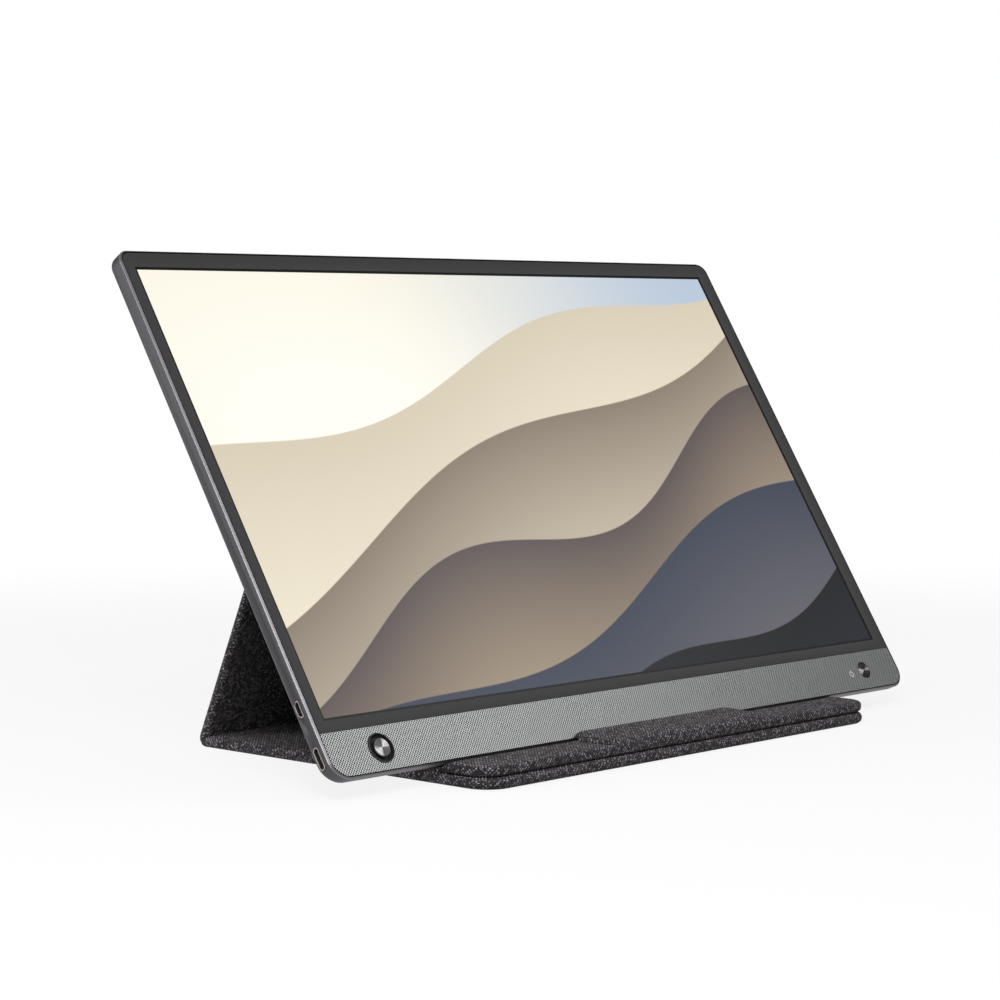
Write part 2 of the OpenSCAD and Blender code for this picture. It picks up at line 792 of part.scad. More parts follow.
// thin web under the monitor, from the upper layer back to the foot fold
module foot_web() {
    color(fabric_dark) {
        block([-stand_w / 2 + roll_inset, lip_y1, panel_t],
              [stand_w / 2 - roll_inset, foot_axis[0], panel_t + web_t]);
        along(foot_axis, 0) bar_x(web_t / 2, -stand_w / 2 + roll_inset, stand_w / 2 - roll_inset);
    }
}

module lip_plate_block() {
    block([-stand_w / 2 + stiff_margin, plate_y - plate_w / 2, -plate_t / 2],
          [stand_w / 2 - stiff_margin, plate_y + plate_w / 2, plate_t / 2]);
}

// upper layer: its rear end slopes down under the case and ends as thick as the web
module lip_sleeve() {
    x = stand_w / 2 + cut;
    color(fabric) difference() {
        on_lip() difference() {
            pad(stand_w, lip_l + panel_t, panel_t, free_r - lip_step, fold_r);
            lip_plate_block();
            block([-x, lip_l - fit / 2, -panel_t], [x, lip_l + 2 * panel_t, panel_t]);
        }
        on_monitor() block([-x, -rest_gap, -2 * case_t], [x, 2 * panel_t, 2 * panel_t]);
    }
}

module lip_plate() {
    color("#9b9ea1") on_lip() lip_plate_block();
}

// ---- tongue ----
// wedge with sloping ends: thin beside its fold, and its rear edge leans with the screen
module tongue_pad() {
    x = tongue_w / 2 - tongue_r;
    hull() for (side = [0, 1]) mirror([side, 0, 0]) {
        translate([x, tongue_r, 0]) cylinder(r = tongue_r, h = tongue_edge);
        translate([x - tongue_slope, tongue_r + tongue_edge, 0])
            cylinder(r = tongue_r, h = tongue_front_t);
        translate([x - tongue_taper, tongue_low_l - tongue_r, 0])
            cylinder(r = tongue_r, h = tongue_edge);
        translate([x - tongue_taper - tongue_slope, tongue_l - tongue_r, tongue_t - tongue_edge])
            cylinder(r = tongue_r, h = tongue_edge);
    }
}

module tongue_core() {
    x = tongue_w / 2 - tongue_taper - tongue_slope - 2;
    block([-x, tongue_margin, tongue_skin],
          [x, tongue_low_l - tongue_margin / 2, tongue_skin + tongue_stiff_t]);
}

module tongue_sleeve() {
    color(fabric) along([tongue_y0, lip_top], 0) difference() {
        tongue_pad();
        tongue_core();
    }
}

module tongue_stiffener() {
    color("#6b6258") along([tongue_y0, lip_top], 0) tongue_core();
}

module tongue_fold() {
    color(fabric) along(tongue_axis, 0)
        bar_x(tongue_knuckle_r, -tongue_w / 2 + tongue_end, tongue_w / 2 - tongue_end);
}

rear_shell();
front_frame();
grille_strip();
lcd_cell();
diffuser_sheets();
light_guide();
reflector_sheet();
panel_tray();
led_bar();
timing_board();
main_board();
shield_can();
display_flex();
usb_c_shell();
usb_c_tongue();
micro_hdmi_shell();
micro_hdmi_tongue();
speakers();
holding_plates();
screws();
nav_ring();
nav_board();
nav_switch_base();
nav_gimbal();
nav_hub();
nav_cap();
power_board();
power_switch();
power_button();
base_sleeve();
base_stiffener();
base_magnets();
rear_fold();
prop_sleeve();
prop_stiffener();
apex_fold();
slant_sleeve();
slant_stiffener();
slant_magnets();
foot_web();
lip_sleeve();
lip_plate();
tongue_sleeve();
tongue_stiffener();
tongue_fold();
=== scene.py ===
import json
import math

import bpy
from mathutils import Matrix, Vector


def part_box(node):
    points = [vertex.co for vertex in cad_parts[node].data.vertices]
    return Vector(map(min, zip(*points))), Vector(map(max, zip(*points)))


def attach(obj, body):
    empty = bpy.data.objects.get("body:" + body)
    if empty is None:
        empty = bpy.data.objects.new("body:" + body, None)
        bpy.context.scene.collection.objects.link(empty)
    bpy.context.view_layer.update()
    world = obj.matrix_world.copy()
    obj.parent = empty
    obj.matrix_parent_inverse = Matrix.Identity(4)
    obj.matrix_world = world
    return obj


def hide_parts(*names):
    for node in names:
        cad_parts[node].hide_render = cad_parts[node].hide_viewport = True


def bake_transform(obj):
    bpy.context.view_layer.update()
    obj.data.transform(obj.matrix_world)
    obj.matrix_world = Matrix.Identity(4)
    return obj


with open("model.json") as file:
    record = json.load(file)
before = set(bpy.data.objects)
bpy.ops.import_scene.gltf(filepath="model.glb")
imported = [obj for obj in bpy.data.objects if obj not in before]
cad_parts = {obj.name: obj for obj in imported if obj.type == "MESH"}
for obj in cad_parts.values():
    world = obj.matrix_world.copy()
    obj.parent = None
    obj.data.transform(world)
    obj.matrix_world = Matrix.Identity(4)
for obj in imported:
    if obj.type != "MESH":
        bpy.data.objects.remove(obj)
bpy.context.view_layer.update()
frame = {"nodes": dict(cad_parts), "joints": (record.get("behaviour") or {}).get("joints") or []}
mm = 0.001
near = 0.001  # two places closer than this, in millimetres, are the same
nodes = frame["nodes"]
joints = {joint["name"]: joint for joint in frame["joints"]}
print("frame loaded:", len(nodes), "nodes")

# the case and the screen, in millimetres on the monitor's own face
case = {"width": 359.7, "height": 226.4, "thickness": 8.4, "topRadius": 5.5, "bottomRadius": 8.5,
        "backRadius": 3.5, "rim": 0.75, "wall": 0.75, "groove": 0.5, "chin": 19.0,
        "draft": 1.5, "lip": 0.04, "rimLow": -1.1, "softEdge": 0.14}
screen = {"low": 20.5, "depth": 0.45, "back": 1.35, "pictureLow": 24.5, "width": 344.2,
          "height": 193.6, "shift": -1.4, "border": 0.65, "unlit": 0.4}

liftAxis = Vector(joints["monitor_lift"]["axis"])
lean = math.atan2(liftAxis.y, liftAxis.z)
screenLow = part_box("lcd_cell")[0] / mm
faceY = screenLow.y - screen["low"] * math.sin(lean) - screen["depth"] * math.cos(lean)
faceZ = screenLow.z - screen["low"] * math.cos(lean) + screen["back"] * math.sin(lean)
faceTurn = math.pi / 2 - lean


def at(y, z, turn):
    # a flat drawing in millimetres, set down at y, z and turned about the X axis
    return (Matrix.Scale(mm, 4) @ Matrix.Translation((0, y, z)) @ Matrix.Rotation(turn, 4, "X"))


# the monitor is drawn flat: x along it, y up the screen and z out of it
onMonitor = at(faceY, faceZ, faceTurn)


def jointPoint(name):
    return Vector(joints[name]["pos_m"]) / mm


# small helpers
def hexColour(code):
    # an sRGB hex value, turned to linear
    parts = [int(code[i:i + 2], 16) / 255 for i in (1, 3, 5)]
    return [p / 12.92 if p <= 0.04045 else ((p + 0.055) / 1.055) ** 2.4 for p in parts] + [1.0]


def addNode(tree, kind, *inputs, output=0, **settings):
    # one node: its inputs in their order, or by name or number in a dictionary, and then its
    # settings. It gives back the output that is asked for.
    made = tree.nodes.new("ShaderNode" + kind)
    for key, value in settings.items():
        setattr(made, key, value)
    values = {}
    for place, value in enumerate(inputs):
        values.update(value if isinstance(value, dict) else {place: value})
    for key, value in values.items():
        if isinstance(value, bpy.types.NodeSocket):
            tree.links.new(value, made.inputs[key])
        else:
            made.inputs[key].default_value = value
    return made.outputs[output] if made.outputs else None


def startMaterial(name, origin=(0, faceY, faceZ), turn=faceTurn):
    # the pattern's own place in millimetres, flat on the panel that it belongs to
    material = bpy.data.materials.new(name)
    material.use_nodes = True
    tree = material.node_tree
    tree.nodes.clear()
    flat = addNode(tree, "Mapping", {
        "Vector": addNode(tree, "TexCoord", output="Object"),
        "Location": [v * mm for v in origin], "Rotation": (turn, 0, 0),
        "Scale": (mm, mm, mm)}, vector_type="TEXTURE")
    return material, tree, flat


def deselectAll():
    bpy.ops.object.select_all(action="DESELECT")


def current(name):
    made = bpy.context.object
    made.name = name
    made.data.name = name
    return made


def activate(piece):
    deselectAll()
    piece.select_set(True)
    bpy.context.view_layer.objects.active = piece


def editStart(piece, mode="VERT"):
    activate(piece)
    bpy.ops.object.mode_set(mode="EDIT")
    bpy.ops.mesh.select_mode(type=mode)


def editEnd():
    bpy.ops.object.mode_set(mode="OBJECT")


def pick(piece, kind, test):
    # selects the vertices, edges or polygons that pass the test, and nothing else
    bpy.ops.mesh.select_all(action="DESELECT")
    bpy.ops.object.mode_set(mode="OBJECT")
    for item in getattr(piece.data, kind):
        item.select = bool(test(item))
    bpy.ops.object.mode_set(mode="EDIT")


def ends(piece, edge):
    return [piece.data.vertices[i].co for i in edge.vertices]


def reachOf(piece, edge):
    first, last = ends(piece, edge)
    return last - first


def applyModifier(piece, kind, **settings):
    modifier = piece.modifiers.new(kind.title(), kind)
    for key, value in settings.items():
        setattr(modifier, key, value)
    activate(piece)
    bpy.ops.object.modifier_apply(modifier=modifier.name)


def cleanUp(piece, angle=35):
    activate(piece)
    bpy.ops.object.mode_set(mode="EDIT")
    bpy.ops.mesh.select_mode(type="VERT")
    bpy.ops.mesh.select_all(action="SELECT")
    bpy.ops.mesh.remove_doubles(threshold=0.0005)
    bpy.ops.mesh.normals_make_consistent(inside=False)
    bpy.ops.object.mode_set(mode="OBJECT")
    bpy.ops.object.shade_smooth_by_angle(angle=math.radians(angle))


def markFacing(piece):
    # the smooth normals of the flat panel tell its weave which way it looks
    facing = piece.data.attributes.new("facing", "FLOAT_VECTOR", "CORNER")
    for corner, marked in zip(piece.data.corner_normals, facing.data):
        marked.vector = corner.vector


def settle(piece, matrix, body, slot, materials, replaced=()):
    # sets a finished piece down in the frame, with its place in its mesh
    if slot in ("fabric_cover", "fold_fabric"):
        markFacing(piece)
    piece.data.transform(matrix)
    if not piece.data.materials:
        for material in materials:
            piece.data.materials.append(material)
    if body:
        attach(piece, body)
    if replaced:
        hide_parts(*replaced)
    return piece


def addBlock(name, low, high):
    deselectAll()
    bpy.ops.mesh.primitive_cube_add(size=1)
    piece = current(name)
    size = [h - l for l, h in zip(low, high)]
    centre = [(h + l) / 2 for l, h in zip(low, high)]
    piece.data.transform(Matrix.Translation(centre) @ Matrix.Diagonal((*size, 1)))
    return piece


def addTurned(name, outline, centre, steps=64):
    # a turned piece: a ring is drawn out along the outline's radius and height pairs
    deselectAll()
    radius, height = outline[0]
    bpy.ops.mesh.primitive_circle_add(vertices=steps, radius=radius)
    piece = current(name)
    piece.data.transform(Matrix.Translation((0, 0, height)))
    editStart(piece)
    bpy.ops.mesh.select_all(action="SELECT")
    for nextRadius, nextHeight in outline[1:]:
        bpy.ops.mesh.extrude_region_move(
            TRANSFORM_OT_translate={"value": (0, 0, nextHeight - height)})
        bpy.ops.transform.resize(value=(nextRadius / radius, nextRadius / radius, 1),
                                 center_override=(0, 0, nextHeight))
        radius, height = nextRadius, nextHeight
    editEnd()
    piece.data.transform(Matrix.Translation(centre))
    return piece


def closeEnds(piece):
    # fills every open rim
    editStart(piece, "EDGE")
    bpy.ops.mesh.select_all(action="DESELECT")
    bpy.ops.mesh.select_non_manifold(extend=False)
    bpy.ops.mesh.edge_face_add()
    editEnd()


noiseSpan = (0.3, 0.7)  # most of a noise's values lie between these


# materials of the monitor
def anodisedAluminium():
    # bead-blasted and anodised sheet: a soft metal sheen over a very fine grit
    sheet = {"colour": "#555457", "roughness": 0.52, "grit": 0.12, "cloud": 50, "dim": 0.94,
             "bright": 1.04}
    material, tree, flat = startMaterial("Anodised aluminium case")
    grain = addNode(tree, "TexNoise", {"Vector": flat, "Scale": 1 / sheet["grit"], "Detail": 2})
    cloud = addNode(tree, "TexNoise", {"Vector": flat, "Scale": 1 / sheet["cloud"], "Detail": 3})
    tone = addNode(tree, "MapRange", cloud, *noiseSpan, sheet["dim"], sheet["bright"])
    shade = addNode(tree, "Mix", {0: 1.0, 6: hexColour(sheet["colour"]), 7: addNode(
        tree, "CombineColor", tone, tone, tone)}, data_type="RGBA", blend_type="MULTIPLY",
        output=2)
    bump = addNode(tree, "Bump", {"Strength": 0.25, "Distance": 0.00002, "Height": grain})
    addNode(tree, "OutputMaterial", addNode(tree, "BsdfPrincipled", {
        "Base Color": shade, "Metallic": 1.0, "Roughness": sheet["roughness"], "Normal": bump}))
    return material


def mouldedPlastic(name, colour, roughness, grit=0.25, strength=0.2):
    # moulded ABS: an even spark-eroded texture that breaks up the reflection
    mould = {"smoother": 0.04, "rougher": 0.05, "fleck": "#555555", "fleckSpan": (0.35, 0.65),
             "fleckShare": 0.12}
    material, tree, flat = startMaterial(name)
    grain = addNode(tree, "TexNoise", {"Vector": flat, "Scale": 1 / grit, "Detail": 3})
    rough = addNode(tree, "MapRange", grain, *noiseSpan, roughness - mould["smoother"],
                    roughness + mould["rougher"], interpolation_type="SMOOTHSTEP")
    fleck = addNode(tree, "MapRange", grain, *mould["fleckSpan"], 0.0, mould["fleckShare"],
                    interpolation_type="SMOOTHSTEP")
    shade = addNode(tree, "Mix", {0: fleck, 6: hexColour(colour), 7: hexColour(mould["fleck"])},
                    data_type="RGBA", output=2)
    bump = addNode(tree, "Bump", {"Strength": strength, "Distance": 0.00003, "Height": grain})
    addNode(tree, "OutputMaterial", addNode(tree, "BsdfPrincipled", {
        "Base Color": shade, "Roughness": rough, "IOR": 1.5, "Normal": bump}))
    return material


def perforatedSheet():
    # satin sheet with rows of punched holes, every second row shifted by half a step
    holes = {"stepX": 1.307, "stepY": 1.274, "radius": 0.27, "soft": 0.1, "metal": "#959796",
             "hole": "#191a1a", "dull": 0.8, "satin": 0.36}
    material, tree, flat = startMaterial("Perforated satin aluminium")
    x, y = addNode(tree, "SeparateXYZ", flat).node.outputs[:2]
    spots = []
    for shift in (0.0, 0.5):
        offsets = []
        for place, step in ((x, holes["stepX"]), (y, holes["stepY"])):
            count = addNode(tree, "Math", place, step, operation="DIVIDE")
            moved = addNode(tree, "Math", count, shift, operation="ADD")
            part = addNode(tree, "Math", moved, operation="FRACT")
            fromMiddle = addNode(tree, "Math", part, 0.5, operation="SUBTRACT")
            offsets.append(addNode(tree, "Math", fromMiddle, step, operation="MULTIPLY"))
        spots.append(addNode(tree, "VectorMath", addNode(tree, "CombineXYZ", *offsets),
                             operation="LENGTH", output="Value"))
    nearest = addNode(tree, "Math", *spots, operation="MINIMUM")
    solid = addNode(tree, "MapRange", nearest, holes["radius"] - holes["soft"],
                    holes["radius"] + holes["soft"], interpolation_type="SMOOTHSTEP")
    shade = addNode(tree, "Mix", {
        0: solid, 6: hexColour(holes["hole"]), 7: hexColour(holes["metal"])}, data_type="RGBA",
        output=2)
    rough = addNode(tree, "MapRange", solid, 0.0, 1.0, holes["dull"], holes["satin"],
                    interpolation_type="SMOOTHSTEP")
    bump = addNode(tree, "Bump", {"Strength": 0.6, "Distance": 0.00015, "Height": solid})
    addNode(tree, "OutputMaterial", addNode(tree, "BsdfPrincipled", {
        "Base Color": shade, "Metallic": 0.8, "Roughness": rough, "Normal": bump}))
    return material


def litScreen():
    # a lit panel behind anti-glare film: a generic picture of soft overlapping hills, whose
    # places and lengths are shares of the picture's size
    sky = {"warmEnds": -0.25, "paleBegins": 0.5, "warm": "#fbf6e6", "pale": "#b9c8da",
           "glow": "#fffdf4", "glowAt": (-0.3, 0.62, 0), "glowFull": 0.05, "glowEnds": 0.5,
           "crisp": 0.002}
    hills = [
        {"base": 0.78, "tilt": 0.42, "wave": 0.05, "count": 1.3, "phase": 0.4,
         "top": "#d8cdb6", "foot": "#f3ead6", "depth": 0.5},
        {"base": 0.56, "tilt": 0.62, "wave": 0.06, "count": 1.1, "phase": 2.2,
         "top": "#8b7e70", "foot": "#e3d7bf", "depth": 0.55},
        {"base": 0.36, "tilt": 0.55, "wave": 0.07, "count": 1.5, "phase": 3.6,
         "top": "#5b5150", "foot": "#bba98f", "depth": 0.5},
        {"base": 0.16, "tilt": 0.5, "wave": 0.06, "count": 1.2, "phase": 5.3,
         "top": "#3a4252", "foot": "#6d6a70", "depth": 0.45},
        {"base": -0.06, "tilt": 0.52, "wave": 0.05, "count": 1.6, "phase": 1.1,
         "top": "#15161b", "foot": "#2b2f3a", "depth": 0.4}]
    material, tree, flat = startMaterial("Lit display with anti-glare film")
    x, y = addNode(tree, "SeparateXYZ", flat).node.outputs[:2]
    across = addNode(tree, "Math", addNode(
        tree, "Math", x, screen["shift"], operation="SUBTRACT"), screen["width"],
        operation="DIVIDE")
    up = addNode(tree, "Math", addNode(
        tree, "Math", y, screen["pictureLow"], operation="SUBTRACT"), screen["height"],
        operation="DIVIDE")
    # a warm glow on the left fades to pale blue on the right
    paleness = addNode(tree, "MapRange", across, sky["warmEnds"], sky["paleBegins"],
                       interpolation_type="SMOOTHSTEP")
    picture = addNode(tree, "Mix", {
        0: paleness, 6: hexColour(sky["warm"]), 7: hexColour(sky["pale"])}, data_type="RGBA",
        output=2)
    distance = addNode(tree, "VectorMath", addNode(tree, "CombineXYZ", across, up),
                       sky["glowAt"], operation="DISTANCE", output="Value")
    glow = addNode(tree, "MapRange", distance, sky["glowFull"], sky["glowEnds"], 1.0, 0.0,
                   interpolation_type="SMOOTHSTEP")
    picture = addNode(tree, "Mix", {0: glow, 6: picture, 7: hexColour(sky["glow"])},
                      data_type="RGBA", output=2)
    for hill in hills:
        swing = addNode(tree, "Math", addNode(
            tree, "Math", across, hill["count"] * 2 * math.pi, hill["phase"],
            operation="MULTIPLY_ADD"), operation="SINE")
        slope = addNode(tree, "Math", across, hill["tilt"], hill["base"],
                        operation="MULTIPLY_ADD")
        ridge = addNode(tree, "Math", swing, hill["wave"], slope, operation="MULTIPLY_ADD")
        below = addNode(tree, "Math", ridge, up, operation="SUBTRACT")
        body = addNode(tree, "Mix", {
            0: addNode(tree, "MapRange", below, 0.0, hill["depth"]),
            6: hexColour(hill["top"]), 7: hexColour(hill["foot"])}, data_type="RGBA", output=2)
        covered = addNode(tree, "MapRange", below, -sky["crisp"], sky["crisp"],
                          interpolation_type="SMOOTHSTEP")
        picture = addNode(tree, "Mix", {0: covered, 6: picture, 7: body}, data_type="RGBA",
                          output=2)
    # a thin unlit border is left all round
    inside = []
    for place, size in ((across, "width"), (addNode(
            tree, "Math", up, 0.5, operation="SUBTRACT"), "height")):
        reach = addNode(tree, "Math", place, operation="ABSOLUTE")
        inside.append(addNode(tree, "Math", reach, 0.5 - screen["unlit"] / screen[size],
                              operation="LESS_THAN"))
    shown = addNode(tree, "Mix", {
        0: addNode(tree, "Math", *inside, operation="MULTIPLY"), 6: hexColour("#000000"),
        7: picture}, data_type="RGBA", output=2)
    addNode(tree, "OutputMaterial", addNode(tree, "BsdfPrincipled", {
        "Base Color": hexColour("#050506"), "Roughness": 0.4, "Specular IOR Level": 0.2,
        "Emission Color": shown, "Emission Strength": 1.0}))
    return material


def spunMetalWithPaintedHighlight(name, centreX, centreY, paintedHighlight):
    # face turned on a lathe: fine rings in its bump, and a painted highlight: the light drawn
    # out into two opposite bright wedges, painted into the colour
    lathe = {"ringStep": 0.16, "streaks": 5.0, "streakReach": 0.35}
    material, tree, flat = startMaterial(name)
    local = addNode(tree, "VectorMath", flat, (centreX, centreY, 0), operation="SUBTRACT")
    x, y = addNode(tree, "SeparateXYZ", local).node.outputs[:2]
    level = addNode(tree, "CombineXYZ", x, y)
    away = addNode(tree, "VectorMath", level, operation="LENGTH", output="Value")
    heading = addNode(tree, "VectorMath", level, operation="NORMALIZE")
    # painted highlight: the colour is lighter in two opposite wedges about the given angle,
    # broken by streaks
    doubled = addNode(tree, "Math", addNode(tree, "Math", y, x, operation="ARCTAN2"), 2.0,
                      -2 * math.radians(paintedHighlight["axis"]), operation="MULTIPLY_ADD")
    highlightWedge = addNode(tree, "Math", doubled, operation="COSINE")
    streaks = addNode(tree, "TexNoise", {
        "Vector": heading, "Scale": lathe["streaks"], "Detail": 3})
    drawn = addNode(tree, "Math", highlightWedge, addNode(
        tree, "MapRange", streaks, *noiseSpan, -lathe["streakReach"], lathe["streakReach"]),
        operation="ADD")
    tone = addNode(tree, "MapRange", drawn, paintedHighlight["from"], paintedHighlight["to"],
                   interpolation_type="SMOOTHSTEP")
    rings = addNode(tree, "Math", addNode(
        tree, "Math", away, 2 * math.pi / lathe["ringStep"], operation="MULTIPLY"),
        operation="SINE")
    shade = addNode(tree, "Mix", {
        0: tone, 6: hexColour(paintedHighlight["dark"]), 7: hexColour(paintedHighlight["light"])},
        data_type="RGBA", output=2)
    bump = addNode(tree, "Bump", {"Strength": 0.3, "Distance": 0.00002, "Height": rings})
    addNode(tree, "OutputMaterial", addNode(tree, "BsdfPrincipled", {
        "Base Color": shade, "Metallic": 0.85, "Roughness": 0.34, "Normal": bump}))
    return material


def platedSteel(name, colour, roughness):
    # rolled and plated sheet: long faint drawing marks
    rolled = {"marks": (0.4, 6, 6), "duller": 0.12}
    material, tree, flat = startMaterial(name)
    drawn = addNode(tree, "Mapping", {"Vector": flat, "Scale": rolled["marks"]})
    marks = addNode(tree, "TexNoise", {"Vector": drawn, "Scale": 1.0, "Detail": 3})
    rough = addNode(tree, "MapRange", marks, *noiseSpan, roughness,
                    roughness + rolled["duller"], interpolation_type="SMOOTHSTEP")
    bump = addNode(tree, "Bump", {"Strength": 0.15, "Distance": 0.00002, "Height": marks})
    addNode(tree, "OutputMaterial", addNode(tree, "BsdfPrincipled", {
        "Base Color": hexColour(colour), "Metallic": 1.0, "Roughness": rough, "Normal": bump}))
    return material


def solderMask():
    # green lacquer over copper tracks
    material, tree, flat = startMaterial("Green solder mask")
    tracks = addNode(tree, "TexBrick", {
        "Vector": flat, "Color1": hexColour("#1f4a33"), "Color2": hexColour("#245a3c"),
        "Mortar": hexColour("#2f6e4b"), "Scale": 0.25, "Mortar Size": 0.03})
    addNode(tree, "OutputMaterial", addNode(tree, "BsdfPrincipled", {
        "Base Color": tracks, "Roughness": 0.35, "IOR": 1.5}))
    return material


def wovenFabric(name, origin, turn):
    # heathered polyester twill: slanting rows of yarn floats, each dyed its own shade of grey,
    # with frayed edges, and painted shade in the low gaps between the floats. Rows finer than
    # these would blur together in a picture.
    weave = {"rib": 1.6, "float": 1.8, "stagger": 0.38, "slant": 1.5, "crown": 0.7, "bow": 0.35,
             "bends": 0.12, "bendReach": 1.5, "fibres": 1.9, "fibreReach": 2.0, "fray": 0.45,
             "fuzz": 0.3, "midFrom": 0.7, "paleSpan": (0.5, 1.15), "yarnSpan": (0.4, 0.95),
             "gap": "#050505", "dark": "#262326", "mid": "#615b61", "pale": "#c0b6be"}
    material, tree, flat = startMaterial(name, origin, turn)
    x, y, z = addNode(tree, "SeparateXYZ", flat).node.outputs
    # the cloth keeps its scale round the edges: sides and ends take the thickness's own axis
    facing = addNode(tree, "Attribute", attribute_name="facing", output="Vector")
    side, end, face = [addNode(tree, "Math", way, operation="ABSOLUTE")
                       for way in addNode(tree, "SeparateXYZ", facing).node.outputs]
    onSide = addNode(tree, "Math", side, addNode(
        tree, "Math", end, face, operation="MAXIMUM"), operation="GREATER_THAN")
    onEnd = addNode(tree, "Math", end, addNode(
        tree, "Math", side, face, operation="MAXIMUM"), operation="GREATER_THAN")
    weft = addNode(tree, "Mix", {0: onSide, 2: x, 3: z})
    warp = addNode(tree, "Mix", {0: onEnd, 2: y, 3: z})
    bends = addNode(tree, "TexNoise", {"Vector": flat, "Scale": weave["bends"], "Detail": 2})
    fibres = addNode(tree, "TexNoise", {
        "Vector": flat, "Scale": weave["fibres"], "Detail": 2, "Roughness": 0.6})
    sway = addNode(tree, "Math", bends, weave["bendReach"], addNode(
        tree, "Math", fibres, weave["fibreReach"], operation="MULTIPLY"),
        operation="MULTIPLY_ADD")
    # which row of the twill, and which float along it
    across = addNode(tree, "Math", weft, addNode(tree, "Math", warp, sway, operation="ADD"),
                     operation="SUBTRACT")
    row = addNode(tree, "Math", across, weave["rib"], operation="DIVIDE")
    rowCount = addNode(tree, "Math", row, operation="FLOOR")
    reach = addNode(tree, "Math", addNode(
        tree, "Math", warp, weave["slant"], weft, operation="MULTIPLY_ADD"), sway,
        operation="ADD")
    along = addNode(tree, "Math", rowCount, weave["stagger"], addNode(
        tree, "Math", reach, weave["float"], operation="DIVIDE"), operation="MULTIPLY_ADD")
    floatCount = addNode(tree, "Math", along, operation="FLOOR")
    dye = addNode(tree, "TexWhiteNoise", addNode(tree, "CombineXYZ", rowCount, floatCount),
                  noise_dimensions="2D")
    # each float is highest in its middle
    swells = []
    for place, power in ((row, weave["crown"]), (along, weave["bow"])):
        part = addNode(tree, "Math", place, operation="FRACT")
        turned = addNode(tree, "Math", part, math.pi, operation="MULTIPLY")
        arch = addNode(tree, "Math", turned, operation="SINE")
        swells.append(addNode(tree, "Math", arch, power, operation="POWER"))
    height = addNode(tree, "Math", *swells, operation="MULTIPLY")
    midShare = addNode(tree, "MapRange", dye, 0.0, weave["midFrom"])
    shade = addNode(tree, "Mix", {
        0: midShare, 6: hexColour(weave["dark"]), 7: hexColour(weave["mid"])},
        data_type="RGBA", output=2)
    frayed = addNode(tree, "Math", dye, addNode(
        tree, "MapRange", fibres, *noiseSpan, -weave["fray"], weave["fray"],
        interpolation_type="SMOOTHSTEP"), operation="ADD")
    paleShare = addNode(tree, "MapRange", frayed, *weave["paleSpan"],
                        interpolation_type="SMOOTHSTEP")
    shade = addNode(tree, "Mix", {0: paleShare, 6: shade, 7: hexColour(weave["pale"])},
                    data_type="RGBA", output=2)
    # painted shade: where the floats are low, between them, the colour turns near black
    yarn = addNode(tree, "MapRange", height, *weave["yarnSpan"],
                   interpolation_type="SMOOTHSTEP")
    shade = addNode(tree, "Mix", {0: yarn, 6: hexColour(weave["gap"]), 7: shade},
                    data_type="RGBA", output=2)
    bump = addNode(tree, "Bump", {"Strength": 0.9, "Distance": 0.0004, "Height": addNode(
        tree, "Math", fibres, weave["fuzz"], height, operation="MULTIPLY_ADD")})
    addNode(tree, "OutputMaterial", addNode(tree, "BsdfPrincipled", {
        "Base Color": shade, "Roughness": 0.92, "IOR": 1.4, "Sheen Weight": 0.08,
        "Sheen Roughness": 0.5, "Normal": bump}))
    return material


def cutRim():
    # a diamond-cut chamfer: greyer across its face, with a painted glint: a bright line where
    # the cut begins
    rim = {"face": "#69676a", "line": "#858286", "glintWide": 0.36, "soft": 0.1, "marks": 0.3,
           "roughness": (0.42, 0.46)}
    material, tree, flat = startMaterial("Diamond-cut rim")
    height = addNode(tree, "SeparateXYZ", flat, output=2)
    # painted glint: the colour turns bright towards the cut's outer edge
    bright = addNode(tree, "MapRange", height, rim["glintWide"] - case["rim"],
                     rim["soft"] - case["rim"], interpolation_type="SMOOTHSTEP")
    shade = addNode(tree, "Mix", {
        0: bright, 6: hexColour(rim["face"]), 7: hexColour(rim["line"])}, data_type="RGBA",
        output=2)
    marks = addNode(tree, "TexNoise", {"Vector": flat, "Scale": rim["marks"], "Detail": 2})
    rough = addNode(tree, "MapRange", marks, *noiseSpan, *rim["roughness"],
                    interpolation_type="SMOOTHSTEP")
    addNode(tree, "OutputMaterial", addNode(tree, "BsdfPrincipled", {
        "Base Color": shade, "Metallic": 1.0, "Roughness": rough}))
    return material


caseMetal = anodisedAluminium()
rimMetal = cutRim()
framePlastic = mouldedPlastic("Charcoal ABS frame", "#28282a", roughness=0.58, grit=0.5,
                              strength=0.6)
blackPlastic = mouldedPlastic("Black polycarbonate", "#141416", roughness=0.42)
ringPlastic = mouldedPlastic("Satin black ring", "#131313", roughness=0.38, grit=0.4,
                             strength=0.1)
wellPlastic = mouldedPlastic("Matt black well", "#050505", roughness=0.7, grit=0.3)
stripSheet = perforatedSheet()
panelPicture = litScreen()
portPlating = platedSteel("Nickel-plated port shell", "#c4bab5", roughness=0.3)
trayMetal = platedSteel("Rolled tray steel", "#8d9093", roughness=0.35)
magnetPlating = platedSteel("Nickel-plated magnet", "#c9ccd0", roughness=0.25)
screwSteel = platedSteel("Blackened screw steel", "#38383b", roughness=0.4)
boardLacquer = solderMask()
opticFilm = mouldedPlastic("White optical film", "#eeeeea", roughness=0.6)
flexFilm = mouldedPlastic("Amber polyimide ribbon", "#c98b3a", roughness=0.3)
boardCore = mouldedPlastic("Grey fibre board", "#6b6258", roughness=0.85, grit=0.6,
                           strength=0.5)
print("materials ready")

